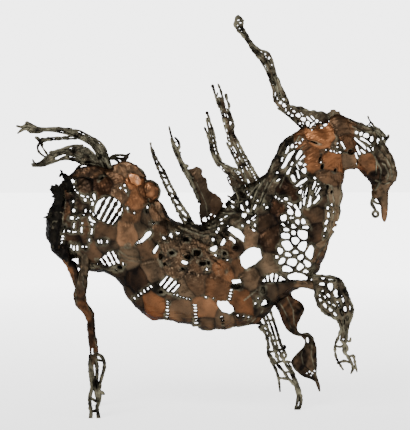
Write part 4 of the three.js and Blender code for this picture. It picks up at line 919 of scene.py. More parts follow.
head = {
    "stations": [
        [343, 118, 352, 167.5, 0, 18.5], [350, 120.5, 355.5, 167.5, 0, 19], [357, 122.5, 358.5, 168.5, 0, 19],
        [368, 127.5, 364, 174, 0, 19], [378, 137, 369, 179.5, 0, 19], [388, 150, 372, 184, 0, 18],
        [395, 167, 372.5, 189, 0, 16], [395.5, 178, 373, 193, 0, 14], [390, 185.5, 373.6, 197, 0, 11],
        [388.5, 190, 375, 199, 0, 9]],
    "nose": [[390, 183, 374, 194, 0, 9], [388.6, 192, 377, 200, 0, 7.5], [388.4, 203, 380.5, 206.5, 0, 6],
             [388, 211, 380.8, 213, 0, 5], [387, 218, 382, 219.5, 0, 3.6], [385.4, 222, 383.4, 222, 0, 2]],
    "windows": {
        "cells": [
            (356.7, 132.6, 3, 3), (361, 133.8, 3.6, 3.4), (366, 135.4, 5.4, 4.4, 10),
            (371.4, 138.8, 3.2, 5, 10), (378.4, 141, 3, 5, -10), (372.6, 148.6, 1.5, 4)],
        "slits": [
            (355.6, 138.8, 365.4, 148.2, 2.2), (361, 138.4, 370, 144, 2), (357, 146.6, 359.4, 153.6, 2),
            (361.4, 150.2, 364.6, 152.8, 1.6), (367.8, 147.4, 369.4, 150.6, 1.5),
            (355.4, 153.6, 357.4, 158, 1.3), (366.4, 143.8, 371, 146.4, 1.4), (355.6, 163, 356.2, 164.4, 1.2)]},
    "plates": [
        (367, 163, 11, .44, .1), (363, 171, 5, .2, .2), (376, 177, 8, .08, .1), (384, 168, 6, .1, .4),
        (389, 160, 7, .36, .9), (392, 174, 6, .34, .9), (382, 152, 5, .3, .9), (375, 150, 5, .12, .7),
        (372, 131, 6, .32, .9), (362, 126, 7, .36, .8), (352, 126, 7, .5, .4), (348, 143, 8, .34, 0),
        (347, 163, 8, .36, .4), (364, 140, 7, .14, .8), (378, 190, 6, .34, .5), (386, 186, 6, .34, .6),
        (372, 186, 4, .1, .4), (383, 139, 4, .26, .9), (376, 160, 4, .14, .1)],
    "nosePlates": [
        (382, 190, 8, .3, .5), (385, 203, 6, .36, .5), (384.6, 214, 6, .5, .4), (379, 198, 4, .2, .6)],
    "ridges": [
        ([382, 163.6, 385, 165.6, 387, 170, 388, 175, 386.6, 180], 1.8),
        ([378, 150, 385, 157, 390, 168, 391, 178], 1.6), ([381, 146, 389, 156, 393, 168], 1.4),
        ([357, 158, 363, 152.4, 372, 152, 376.4, 160, 376, 175], 1.6),
        ([376, 160, 381, 170, 380, 182, 376, 190], 2.2), ([345, 119, 358, 125, 371, 130], 2),
        ([352, 127, 362, 131, 374, 133], 1.6), ([376, 180, 384, 184, 389, 182], 1.8)],
    "chin": [([373, 192, 373.4, 198, 371.6, 203, 373.6, 207, 375.6, 210.4], [2.4, 2.2, 2.2, 1.6]),
             ([373, 200, 376, 203, 380.6, 204], [1.6, 1.2])],
    "twigs": [([368, 116.6, 369.4, 120, 371.4, 122.6, 374, 126, 378, 129, 381.6, 132, 384.6, 136, 386, 139],
               [.7, .9, 1.1, 1.6, 1.8, 2]), ([366.8, 125.4, 369, 125, 372, 127], [.7, 1]),
              ([371, 122, 368.6, 124.6], [.7, .7]),
              ([371, 128, 375, 131, 376, 137, 374.6, 144, 375, 151], [2.2, 2.4, 2, 2, 1.6]),
              ([374, 128, 379, 132, 384, 137, 386.6, 139.6], [2.2, 2.4, 1.6]),
              ([372, 129, 378, 133.6, 381, 139, 379, 146], [1.8, 1.6, 1.6]),
              ([383.4, 143.6, 385, 140, 388, 137.6, 388.4, 135.6], [2.2, 2.2, 1.4]),
              ([379, 142, 383, 144, 386, 148], [1.8, 1.8])],
}


def headSide(fromAngle, toAngle, pitch, near):
    # One side of the hollow oval skull
    wall, hammer, seed, around = 0.9, 0.5, 3, 1.15
    humpHeight, ridgeHeight, farWider, farShade = 0.8, 1.4, 0.5, 0.7
    rows = spline(head["stations"], pitch / square)
    height = np.abs(rows[:, 0:2] - rows[:, 2:4]).sum(1).max() * square * around
    angle = np.linspace(fromAngle, toAngle, max(8, int(height / pitch)))[None, :]
    u, v = between(rows[:, None], 0.5 - 0.5 * np.cos(angle))
    points = sight(u, v, rows[:, 4:5] + 0 * u)
    points[..., 1] -= rows[:, 5:6] * np.sin(angle)
    centre = points.mean(1, keepdims=True) * [1, 0, 1] + [0, rows[:, 4].mean() + frameShift[1], 0]
    normals = outwardNormals(points, centre)
    flat = patternOf(points)
    field = windowField(flat, head["windows"], seed=seed) - (0.0 if near else farWider)
    gap, tone, olive = plateField(flat, head["plates"])
    rods = ridgeField(flat, head["ridges"])
    relief = hammer * ripple(points, 8, seed) + humpHeight * smooth(0, 3, gap) + ridgeHeight * rods
    rim = wall * bulge(field / trunk["rimWidth"])
    front = rim + relief * smooth(0, trunk["reliefFrom"], field)
    # The far side is painted darker as shade; darker also in the seams and at the windows
    tone = (tone * (1.0 if near else farShade) + 0.04 * ripple(flat, 8, seed + 5) - 0.1 * smooth(1, 0, gap)
            - 0.1 * smooth(1.5, 0.3, field))
    rodShare = np.clip(np.maximum(rods, 0.8 * smooth(2, 0.5, field)), 0, 1)
    return closedSheet(points, normals, field, np.maximum(front, leastSkin), rim + 0.05,
                       [np.clip(tone, 0, 1), olive, rodShare, 0])


piece("head_skull_and_nose", [
    headSide(-0.1, np.pi + 0.1, 1.0, True), headSide(-0.02, -np.pi + 0.02, 1.8, False),
    blade(head["nose"], plates=head["nosePlates"], ragged=0.1, hammer=0.3, seed=8),
    *strands(head["chin"], 0, darkRod, seed=4), ring(375.5, 214, 0, 7.8, 1.7),
], copper, "head")
piece("forelock_twigs", strands(head["twigs"], -1, oliveRod, seed=6, lumps=0.3), bronze, "forelock_twig")
print("head done")

# Crest and plume

plume = {
    "stations": [
        [243.5, 37, 246.5, 32, 0, 2.2], [246, 42, 252, 40.6, 0, 2.6], [250.6, 50, 259, 47.4, 0, 3],
        [256, 57, 269.5, 52.6, 0, 3.2], [260.4, 62, 273, 60, 0, 3.4], [266.6, 73, 276.4, 71, 0, 3.4],
        [269, 82, 280, 80, 0, 3.4], [272, 90, 284, 90, 0, 3.2], [273.4, 101.6, 289, 100, 0, 3],
        [279.6, 109.4, 291, 106.6, 0, 3], [290, 118, 298, 111, 0, 3], [302, 129.6, 309, 122, 0, 3]],
    "cells": [(262, 51, 3, 2), (264.6, 54, 2.4, 2), (265.4, 58, 2, 2.6), (269, 58, 2, 2),
              (268, 61.6, 2.4, 1.6), (271, 65, 2, 2), (277.2, 95.4, 4.2, 8.6, -12), (283, 99.7, 2.4, 2.4),
              (280.6, 102.4, 3, 3), (284.6, 105.2, 3.6, 3.8), (286.4, 109.8, 2.4, 3), (288.6, 107, 2, 1.6)],
    "slits": [(272.4, 82, 276.6, 89, 1.4), (255.6, 50, 261, 54.6, .9), (263, 63, 267.4, 70.6, .8)],
    "ridges": [
        ([245, 36, 252, 47, 262, 60, 270, 74, 277, 90, 286, 108], 1.8),
        ([247, 40, 257, 52, 266, 66, 272, 80, 279, 92, 289, 104], 1.6),
        ([248, 45, 258, 58, 266, 70, 270, 84, 275, 100], 1.6),
        ([254, 45, 264, 54, 273, 64, 277, 78, 282, 90], 1.6)],
    "knobs": [([247, 40, 243, 35, 239, 31, 235.6, 26.6, 235, 21.6, 237, 18, 238.2, 16.2],
               [2.4, 2.2, 1.8, 1.6, 1.6, 2]),
              ([247.6, 38, 245, 32, 242, 27.6, 242.6, 22, 240.4, 18.4, 238.2, 16.2], [2.4, 2, 1.7, 1.5, 2]),
              ([235, 25.4, 238, 22, 243, 20.6], [1.4, 1.5]),
              ([235.4, 20.6, 238.6, 24, 242.4, 25.4], [1.3, 1.3]),
              ([236.6, 28, 240, 26.6, 242, 29], [1.5, 1.4]), ([240, 32, 241.4, 29, 243.4, 32], [1.4, 1.4])],
    "footRods": [([278, 108.4, 283, 111.6, 290, 117, 297, 123.4, 304, 130], [1.1, 1.3, 1.4]),
                 ([303, 128, 306, 131, 309.6, 129], [2.6, 2.8, 2]),
                 ([286, 104, 294, 107.6, 303, 111, 312, 113], [1.2, 1.2])],
}
plumeWindows = {kind: plume[kind] + crestWindows[kind] for kind in ("cells", "slits")}
piece("crest_and_plume", [
    blade(plume["stations"], plumeWindows, plume["ridges"], (0.26, 0.6, 0.3, 0), pitch=0.9, hammer=0.6,
          seed=14),
    *bundle(plume["stations"][:-3], 4, 1.0, 15, (0.24, 0.7, 1, 0), stand=1.1),
    *strands(plume["knobs"], 0, oliveRod, seed=16, lumps=0.25),
    patched(scrap(crest["outline"], -3, 2.6, crestWindows, crest["ridges"], (0.2, 0.7, 0.2, 0), pitch=0.55,
                  seed=12), crest["plates"]),
    *strands(plume["footRods"], -2, oliveRod, seed=18),
], bronze, "crest_plume")
print("crest done")

# Tail

tail = {
    "upper": [[26, 121.5, 24, 129.5, 12, 2], [31, 125, 31, 133, 12, 2.2], [40, 127.4, 41, 132, 12, 2.4],
              [50, 127.5, 50, 131.6, 11, 2.8], [64, 127, 63, 133.5, 9, 3.2], [78, 129.5, 76, 138, 7, 3.6],
              [90, 135.5, 84, 141.5, 5, 4], [100, 141, 91.5, 147, 4, 4.2], [107, 149, 97, 157, 2, 4.6],
              [109.5, 157, 100, 163, 1, 4.8], [112, 166, 103, 171, 0, 4.6]],
    "lower": [[31.5, 163.4, 33, 166.8, -15, 1.8], [40, 161.4, 42, 166.6, -14, 2.4],
              [50, 153.4, 55, 162.6, -13, 2.8], [64, 149.6, 66, 160, -12, 3.2],
              [78, 145.6, 78, 163.4, -11, 3.6], [88, 147.6, 88, 166, -10, 4], [96, 156, 99, 166, -9.4, 4.2],
              [102, 162, 104, 172, -9.4, 4]],
    "upperRods": [
        ([30, 126, 26, 125.6, 22, 127, 17, 126], [2, 1.8, 1.2]),
        ([28, 128.6, 22, 130, 18, 133], [1.8, 1.6, 1.1]), ([27, 122.4, 31, 124.6, 37, 128], [1.6, 1.8]),
        ([30, 132, 37, 132.4, 43, 131], [1.4, 1.4]), ([74, 135.6, 66, 137, 56, 137.6, 47, 138], [1.2, 1, 1]),
        ([76, 138.6, 64, 139, 52, 139.8, 45, 140.4], [1.2, 1.1, 1.2]),
        ([47, 138.6, 42, 140, 36, 137.6], [1.6, 2.4, 1.6]),
        ([46, 140.4, 40, 143, 37.6, 147, 39, 152, 45, 157], [1.8, 1.3, 1.1, 1.2]),
        ([42, 141, 42, 146, 45, 151, 48.4, 156], [1.4, 1, 1.1]), ([38, 140, 41.4, 143], [1.5, 1.5]),
        ([45, 157, 48.6, 156], [1.4, 1.3])],
    "lowerRods": [
        ([40, 163, 35, 163.4, 32.6, 159.6], [1.6, 1.2, .7]),
        ([50, 152.6, 60, 150, 70, 146.6, 82, 145.6], [1.6, 1.8]),
        ([46, 158, 56, 152, 66, 153, 78, 150], [1.4, 1.6]), ([72, 158, 82, 163, 95, 164.6], [1.8, 2]),
        ([84, 163, 79, 166.6, 75.6, 171, 74, 178], [1.5, 1.4, 1.4]),
        ([100, 160, 103, 167, 105, 174], [2, 1.8]), ([105, 158, 108, 166, 110, 172], [2, 2]),
        ([98, 156, 106, 163, 113, 170], [1.8, 1.8])],
    "lowerSlits": [(56, 158.6, 66, 155, 1.6), (67, 155.6, 76, 157, 1.5), (100.6, 162.6, 102.4, 167, 1.3)],
    "upperRidges": [
        ([26, 125, 40, 129, 60, 129, 80, 134, 98, 146, 108, 160], 1.6),
        ([30, 130, 50, 130.6, 70, 133, 86, 140, 100, 154], 1.6), ([92, 139, 100, 148, 104, 160], 1.6)],
    "lowerRidges": [
        ([50, 158, 62, 153, 78, 150, 92, 156], 1.8), ([58, 160, 72, 159, 86, 162], 1.6),
        ([70, 149, 84, 152, 96, 162], 1.8)],
}
piece("tail_upper_lock_wires", [
    blade(tail["upper"], {"slits": edgeLace(tail["upper"][3:], 5, 1.7, 0.8, 73, 0.6)}, tail["upperRidges"],
          (0.1, 0.6, 0.6, 0), pitch=0.9, ragged=0.4, hammer=0.5, seed=22),
    *bundle(tail["upper"], 6, 0.9, 23, (0.1, 0.6, 1, 0)),
    *strands(tail["upperRods"], 10, darkRod, seed=24, lumps=0.22),
], bronze, "tail_upper_lock")
piece("tail_lower_lock_wires", [
    blade(tail["lower"], {"slits": tail["lowerSlits"]}, tail["lowerRidges"], (0.12, 0.6, 0.5, 0), pitch=0.9,
          ragged=0.6, hammer=0.7, seed=26),
    *bundle(tail["lower"], 5, 1.0, 27, (0.12, 0.7, 1, 0)),
    *strands(tail["lowerRods"], -12, oliveRod, seed=28, lumps=0.22),
], bronze, "tail_lower_lock")
print("tail done")

# Rump: torn scraps, bow, and plates of the croup that stand out over the skin

rump = {
    "scraps": [
        ("rump_scrap_1", 22,
         [60, 170.6, 62, 170.4, 65, 173.6, 68.6, 175, 70.6, 179.6, 74, 186, 73, 193, 66, 197, 64.6, 188,
          64, 181]),
        ("rump_scrap_2", 24,
         [50, 190, 50.4, 186.6, 53, 185, 57, 185.6, 60.6, 185, 64, 188, 67, 196, 62, 204, 54.4, 203,
          55, 199.6, 55.6, 196, 52, 193.4]),
        ("rump_scrap_3", 26,
         [45, 217, 47.6, 217.8, 50, 216, 50.6, 212, 52.6, 207, 58, 205, 64, 210, 66, 226, 60, 240, 52, 242,
          48.6, 237, 50, 229, 51, 224, 48.4, 219.6])],
    # Outline, depth of the middle, tone
    "tornEdge": [
        ([50.6, 186.4, 54, 184.8, 58.6, 185, 62, 185, 64, 191, 64, 199, 62, 206, 58, 210, 54, 209, 53, 204,
          55, 199, 55.4, 196, 51.4, 193, 49.8, 190], -34, .03),
        ([44.6, 217.4, 48.6, 216.8, 51.6, 214.4, 51, 210, 53.6, 206, 58, 205, 63, 207, 64, 216, 61, 226,
          60.6, 236, 60, 247, 56.6, 252.6, 53, 246, 49, 240.6, 48, 235, 49.8, 228, 51.2, 224.4, 48.6, 221.4,
          46, 218.8], -30, .03), ([62, 172, 66, 175, 71, 180, 73, 187, 70, 193, 66, 192, 64, 184], -34, .03),
        ([54, 247, 60, 246, 66, 250, 70, 258, 66, 263, 60, 257], -40, .05)],
    "bow": [([104, 178, 106, 168, 108, 162, 112, 156.4, 120, 155, 126, 155.4, 129.6, 153.6],
             [2.6, 2, 1.5, 1.4, 1.1]),
            ([110, 158.6, 115, 159, 119, 162.6, 121, 172], [1.6, 1.5, 1.8]),
            ([112, 157.4, 118, 158, 123, 160], [1.3, 1.3])],
    "bowTip": [120, 158, 124, 156, 129.6, 153.6, 128.6, 158, 126, 162, 121, 163],
    "bowFoot": [105, 167.6, 110, 166.8, 116, 167.6, 115, 170.6, 112, 172, 107, 171.6],
    "thorn": [([53, 215, 48.6, 216.6, 43.6, 217.6], [2.4, 1.8, 0.6]),
              ([60, 176, 62, 172, 60.6, 170.4], [1.6, 1.2, 0.8])],
    # Outline, depth of the middle, tone, olive
    "croup": [([72, 177, 75, 171, 80, 168, 88, 166.4, 95, 165.4, 101, 169, 104.6, 174, 103, 180, 90, 183,
                78, 184], -24, .24, .2),
              ([112, 171, 114, 166, 119, 162.4, 128, 161, 135, 164.6, 140, 170, 145.6, 176, 143.6, 178,
                141, 177, 142, 184, 136, 187, 126, 184, 116, 186, 111, 180], -26, .42, .4),
              ([140, 190, 141.6, 184.6, 145, 182, 150, 181.4, 155, 183.6, 158.4, 188, 159, 193, 157, 198,
                153, 201.6, 147, 201, 142, 197], -28, .52, .1),
              ([151, 206, 153, 201.4, 157, 200.6, 161.6, 203, 163, 210, 165, 215, 171, 221, 168, 226,
                158, 222, 152, 214], -26, .36, .4)],
    # Pale pink-tan plate over the croup that is a painted highlight
    "paintedHighlightPlate": [127, 175, 131, 172.6, 137, 174, 141, 179, 141.6, 185, 137, 187, 131, 183],
    "croupRods": [([140.6, 189, 145, 182.4, 150, 181.2, 155, 183.4, 158.4, 188, 159.2, 193, 157, 198.4,
                    153, 201.6], [1.4, 1.8, 2, 1.6]),
                  ([138, 168, 142, 171.6, 145.6, 177], [1.6, 2, 1.4]),
                  ([139.6, 179, 143, 179.4, 145, 177], [1.6, 1.4])],
}
# Near-black torn sheets along the rump's left edge: partly dark scrap, partly painted shade of the rump's rear
# side
piece("rump_torn_edge", [scrap(outline, y, 1.2, traits=(tone, 0.2, 0.1, 0), pitch=0.6, stand=6,
                               lean=(-1.2, 0), ragged=0.7, hammer=0.6, seed=160 + i)
                         for i, (outline, y, tone) in enumerate(rump["tornEdge"])], black)
for name, seed, outline in rump["scraps"]:
    torn = scrap(outline, 0, 2.4, traits=(0.12, 0.2, 0.1, 0), pitch=0.7, seed=seed)
    piece(name + "_torn", [torn], black, name)
piece("rump_bow_rods", [
    *strands(rump["bow"], 9, darkRod, seed=31),
    scrap(rump["bowTip"], 9, 1.2, traits=(0.3, 0.4, 0, 0), pitch=0.6),
    scrap(rump["bowFoot"], 9, 2, traits=(0.05, 0.2, 0.2, 0), pitch=0.6),
], black, "rump_bow")
piece("rump_thorn", strands(rump["thorn"], -30, (0.05, 0.3, 0.3, 0), seed=35), black)
piece("croup_plates", [
    *[scrap(outline, y, 1.4, traits=(tone, olive, 0, 0), stand=9, ragged=0.3, hammer=0.4, seed=50 + i)
      for i, (outline, y, tone, olive) in enumerate(rump["croup"])],
    # The painted highlight plate
    scrap(rump["paintedHighlightPlate"], -38, 1.2, traits=(0.8, 0, 0, 0), pitch=0.7, stand=4, seed=58, ragged=0.2),
    *strands(rump["croupRods"], -24, darkRod, seed=33),
], copper)
print("rump done")

# Mane spikes and saddle scrap

spikes = {
    "one": [([150.6, 143.6, 152, 152, 155.4, 162, 160.4, 174, 165.4, 186, 170.4, 196, 176, 207, 181, 217,
              188, 229], [1.1, 1.6, 1.7, 1.8]),
            ([151.6, 147, 154.8, 155, 159, 163, 164.6, 172, 169, 182, 174.8, 193, 180.6, 204, 186, 212,
              194, 225], [1.1, 1.5, 1.6, 1.7]), ([176, 198, 183, 207, 189, 216, 193, 228], [1.3, 1.3]),
            ([178, 210, 186, 218, 197, 228], [1.3, 1.4])],
    # Rungs of spike one: station on the left rod, and how many further it is on the right one
    "rungs": ((4, 0), (7, -1), (9, 1), (11, 0), (14, -1), (16, 1), (18, 0), (20, 1), (23, -1), (25, 0),
              (26, 2)),
    "two": [([169, 126.6, 172, 138, 177, 150, 181, 160, 186, 169, 191, 180, 195, 190, 199, 201],
             [.9, 1.5, 1.9, 2, 2.2]),
            ([170, 131, 174, 144, 178.6, 155, 183, 164, 187.6, 174, 192, 184, 197, 196], [.9, 1.5, 1.9, 2]),
            ([171, 139, 174, 150, 179, 161, 183, 170, 188, 178, 193, 188], [1.1, 1.4, 1.6]),
            ([175, 137.6, 178, 141, 179.4, 146, 178, 151, 180, 157], [1.1, 1.5, 1.7, 1.6]),
            ([172.6, 143, 176, 142], [1.2, 1.2]), ([176, 152, 180, 152.6], [1.4, 1.4]),
            ([182, 164, 187, 166], [1.4, 1.8]), ([188, 175, 193, 178], [1.4, 1.8])],
    "three": [([207, 112.6, 208.6, 117, 210.6, 124, 213, 130, 215, 140, 217, 151, 221, 161],
               [1.4, 1.2, 1.4, 1.4, 1.4]),
              ([206.4, 118.6, 207.6, 124, 209, 131, 209.6, 142, 212, 154, 218, 166], [1, 1.2, 1.3, 1.4]),
              ([204.6, 127.6, 206.6, 132, 208.6, 137.6, 211, 142], [1, 1.3, 1.8]),
              ([208, 118, 210, 123], [1, 1]), ([208.6, 131, 213, 131.6], [1.1, 1.1]),
              ([224, 165, 232, 168, 240, 171, 245, 178], [1.6, 1.6, 1.4])],
    "threeStations": [
        [209, 127, 213, 129, 6, 1.8], [209, 134, 214, 137, 6, 2.4], [210.5, 148, 216.5, 150, 6, 2.8],
        [213, 157, 220.4, 160, 6, 3], [218, 166, 229, 165, 6, 3], [224, 173, 236, 170, 6, 3],
        [228, 182, 242, 176, 5, 3], [233, 192, 248, 186, 5, 3], [238, 204, 251, 199, 4, 3]],
    "threeRidges": [
        ([211, 129, 213, 146, 217, 160, 226, 170, 238, 182, 245, 198], 1.6),
        ([218, 162, 230, 168, 240, 172], 1.8)],
    "four": [([212.6, 86, 213.6, 89, 215, 94, 217, 101, 219, 107], [1.7, 1.1, 1.2, 1.4]),
             ([217.6, 93, 216.6, 96.4], [1, 1]),
             ([218, 84, 219.6, 87.6, 221.4, 93, 223, 100, 224.4, 108], [1, 1.3, 1.3, 1.4]),
             ([226, 95, 227, 100, 229, 105, 228.6, 110, 226, 113], [1.8, 1.3, 1.4, 1.4]),
             ([228.6, 110, 231.6, 118, 234, 127], [1.3, 1.5]),
             ([230, 129, 236, 138, 243, 152, 251, 166, 259, 180], [1.4, 1.5, 1.6, 1.8]),
             ([227, 143, 234, 157, 241, 172, 247, 186], [1.4, 1.4, 1.6])],
    "fourStations": [
        [216.6, 97.6, 222, 97, 2, 1.6], [218.6, 104, 225.6, 104, 2, 2], [220, 112, 229.6, 111, 2, 2.4],
        [221.6, 119, 232.6, 118, 2, 2.6], [224, 128, 234, 127, 2, 2.8], [226.6, 138, 236, 137, 2, 3],
        [228.4, 146, 239.6, 146, 2, 3], [234, 157, 244.4, 156, 2, 3], [238, 168, 251, 167.6, 2, 3],
        [242, 180, 257.6, 178, 2, 3], [246, 194, 262, 190, 2, 3]],
    "fourCells": [
        (226, 115.5, 2.6, 5, -30), (229, 113, 2, 3), (230.5, 117, 1.5, 3), (230.5, 123.5, 2, 5),
        (232, 127.5, 2, 2), (240, 158, 1.4, 3, -25), (247, 168, 1.2, 4, -30), (248, 181, 2, 4, -30)],
    "fourSlits": [
        (223.5, 119, 226, 127, 1.2), (233, 147, 236, 153, 1), (241, 167, 245, 175, 1),
        (229, 133, 231, 139, .8)],
    "fourRidges": [
        ([218, 99, 222, 114, 226, 130, 230, 145, 239, 165, 248, 186], 1.6),
        ([224, 98, 228, 112, 233, 130, 240, 150, 252, 172], 1.6),
        ([229, 140, 238, 153, 247, 168, 254, 182], 1.4)],
}
saddle = {
    "outline": [186.6, 169, 192, 168, 196, 166.8, 199.4, 167, 203, 170, 202, 175, 206, 178, 208, 184,
                209, 190, 214, 193, 220, 197, 223.4, 203, 222, 210, 221, 218, 213, 231, 203, 230, 199.6, 218,
                199, 210, 200, 200, 198, 196, 194, 188, 192, 180, 189, 174],
    "cells": [(204.6, 219.6, 3.4, 4), (211, 214.6, 1.6, 1.6), (214.6, 216.4, 1.6, 2), (209, 218, 1.4, 1.8)],
    "ridges": [([188, 170, 195, 180, 201, 192, 206, 204, 208, 220], .9)],
    "plates": [
        (194, 173, 7, .26, .3), (203, 184, 6, .2, .3), (206, 198, 7, .14, .1), (214, 202, 7, .24, .1),
        (205, 212, 7, .08, .2), (215, 212, 6, .22, .1), (208, 226, 6, .08, .5)],
}
leftRod, rightRod = (spline(pairsOf(line), 3.2) for line, _ in spikes["one"][:2])
rungs = [([*leftRod[i], *rightRod[min(i + step, len(rightRod) - 1)]], [1.1, 1.4])
         for i, step in spikes["rungs"]]
piece("mane_spike_1_rods", strands(spikes["one"] + rungs, -12, darkRod, seed=41, lumps=0.35),
      bronze, "mane_spike_1")
piece("mane_spike_2_rods", strands(spikes["two"], -6.7, oliveRod, seed=42, lumps=0.25),
      bronze, "mane_spike_2")
piece("saddle_scrap_sheet", [
    patched(scrap(saddle["outline"], -1, 2.4, {"cells": saddle["cells"]}, saddle["ridges"],
                  (0.2, 0.3, 0.1, 0), pitch=0.7, seed=43, stand=3), saddle["plates"])],
      copper, "saddle_scrap")
piece("mane_spike_3_rods", [
    blade(spikes["threeStations"], {"slits": edgeLace(spikes["threeStations"], seed=71, keep=0.65)},
          spikes["threeRidges"], (0.2, 0.5, 0.2, 0), pitch=0.8, ragged=0.5, hammer=0.4, seed=44),
    *strands(spikes["three"], 6, oliveRod, seed=45, lumps=0.22), bead(207, 113, 6, 1.9),
    *bundle(spikes["threeStations"], 2, 1.0, 46, oliveRod, spread=0.5),
], bronze, "mane_spike_3")
fourWindows = {"cells": spikes["fourCells"],
               "slits": spikes["fourSlits"] + edgeLace(spikes["fourStations"], seed=72, keep=0.6)}
piece("mane_spike_4_rods", [
    blade(spikes["fourStations"], fourWindows, spikes["fourRidges"], (0.27, 0.4, 0.2, 0), pitch=0.8,
          hammer=0.4, seed=47),
    *strands(spikes["four"], 2, oliveRod, seed=48, lumps=0.22),
    *bundle(spikes["fourStations"], 2, 1.0, 49, oliveRod, spread=0.5),
    bead(212.6, 86, 2, 2), bead(226, 95, 2, 2),
], bronze, "mane_spike_4")
print("spikes done")

# Wires over the withers, where the spikes are brazed on
withers = [
    ([232, 186, 236, 192, 238.4, 200, 237, 212], [1.2, 1.1]),
    ([262, 182, 256, 193, 252.6, 203, 250.6, 214], [1.4, 1.2]),
    ([259, 184, 253, 190, 246, 199.6, 236, 203], [1.1, 1.0]), ([268, 182, 262, 196, 258.6, 206], [1.3, 1.1]),
    ([222, 213, 232, 213.4, 240, 212, 252, 214], [1.2, 1.1]),
    ([228, 196, 233, 198.6, 236.6, 201, 240, 202], [1.1, 1.0])]
piece("withers_wires",
      strands(withers, lambda v: -16 - 26 * smooth(185, 230, v), seed=61, lumps=0.25), bronze)

# Hind legs: plate shin, then rods down to two toes. The far one stands right behind the near one.

hindLegs = {
    # Depths of hock and foot, and the heights on the pattern that they belong to
    "near": (-36.0, -60.0), "far": (34.0, 56.0), "hockRow": 262, "footRow": 418,
    # [u, v, u, v, half thickness]
    "rear": [[57, 244, 70, 246, 7], [60, 257, 71, 258, 7], [66, 267, 76.6, 265.6, 7],
             [70.5, 277, 79.6, 275, 7], [74.6, 288, 82, 288, 6]],
    "front": [[76, 250, 92, 252, 8], [79.5, 261, 90, 265, 8], [78.6, 272, 88.6, 276, 8],
              [75.6, 285, 88, 284, 8], [73, 295, 86.4, 296, 7.5], [75.6, 306, 89, 304.6, 7],
              [81.6, 312, 94, 311.6, 7], [86, 320, 95, 320, 6], [87, 332, 96, 332, 5.6],
              [88.4, 343, 98, 343, 5.2], [89.6, 352, 98.4, 352, 4.6], [89.4, 360, 96.6, 360, 3.6],
              [91, 366, 95, 365, 2.4]],
    "rods": [([90.4, 356, 90, 370, 91.4, 381, 92, 388, 90, 396, 90, 405, 91, 413, 90.4, 419.4],
              [2.4, 2, 2.1, 2.1, 2.2]),
             ([91.6, 362, 92, 368, 93.6, 379, 95, 388, 97, 397, 98, 402, 97, 408, 98, 414, 98.8, 420],
              [2, 1.9, 2, 2.2]), ([95.6, 358, 97, 368, 97, 380, 98, 389, 98, 401], [2.4, 1.7, 1.5]),
             ([94, 356, 98, 354.4, 102, 357, 104.4, 363, 104, 369, 102, 376, 100, 384, 99, 391, 100, 398,
               98.4, 405], [2, 1.8, 1.9, 1.7]), ([90.4, 411.4, 97.6, 410.6], [1.7, 1.7]),
             ([98, 360, 103, 361], [1.5, 1.5]), ([99.4, 391, 104, 394], [2, 1.6]),
             ([91, 385, 94.6, 388], [1.6, 1.6]), ([91, 398, 97, 402], [1.5, 1.5])],
    "slits": [(92.4, 349, 92.8, 353.6, 1.3)],
    "ridges": [
        ([92, 252, 88.6, 270, 88, 284, 86, 298, 90, 310], 1.8),
        ([80, 262, 79, 274, 76, 290, 77, 304, 86, 318], 1.6), ([84, 276, 83, 283, 85, 287], 1.8),
        ([92.4, 312, 93.6, 330, 96.6, 346], 1.4)],
    "plates": [
        (72, 252, 8, .05, .3), (84, 258, 7, .26, .8), (84, 270, 7, .2, .7), (82, 283, 6, .16, .6),
        (79, 296, 7, .2, .2), (85, 304, 5, .36, 0), (88, 316, 5, .3, 0), (90, 330, 6, .22, 0),
        (92, 344, 6, .22, 0), (93, 358, 5, .16, .6)],
    "rearPlates": [
        (66, 252, 6, .06, .3), (66, 262, 4, .36, .2), (72, 262, 4, .05, .3), (71, 272, 4, .38, .1),
        (77, 272, 4, .08, .2), (77, 283, 4, .1, .3)],
}


def hindLeg(side, pitch, sides):
    hock, foot = hindLegs[side]
    row = hindLegs["hockRow"]

    def depth(v):
        return hock + (foot - hock) * np.clip((v - row) / (hindLegs["footRow"] - row), -0.4, 1)

    def leaning(stations):
        return [[au, av, bu, bv, depth((av + bv) / 2), half] for au, av, bu, bv, half in stations]

    return [blade(leaning(hindLegs["rear"]), {}, (), (0.2, 0.2, 0, 0),
                  pitch, 0.3, 0.4, 71, hindLegs["rearPlates"]),
            blade(leaning(hindLegs["front"]), {"slits": hindLegs["slits"]}, hindLegs["ridges"],
                  (0.25, 0.2, 0, 0), pitch, 0.3, 0.4, 72, hindLegs["plates"]),
            *strands(hindLegs["rods"], depth, oliveRod, seed=73, lumps=0.22, sides=sides)]


def footCut(parts):
    # Toes that reach below the floor are pressed flat on it
    for points, _, _ in parts:
        points[:, 2] = np.maximum(points[:, 2], 0.0)
    return parts


piece("hind_leg_near_plate_and_rods", footCut(hindLeg("near", 1.0, 10)), copper, "hind_leg_near")
piece("hind_leg_far_plate_and_rods", footCut(hindLeg("far", 1.6, 6)), copper, "hind_leg_far")
print("hind legs done")

# Standing foreleg: cage of rods that closes to one small foot

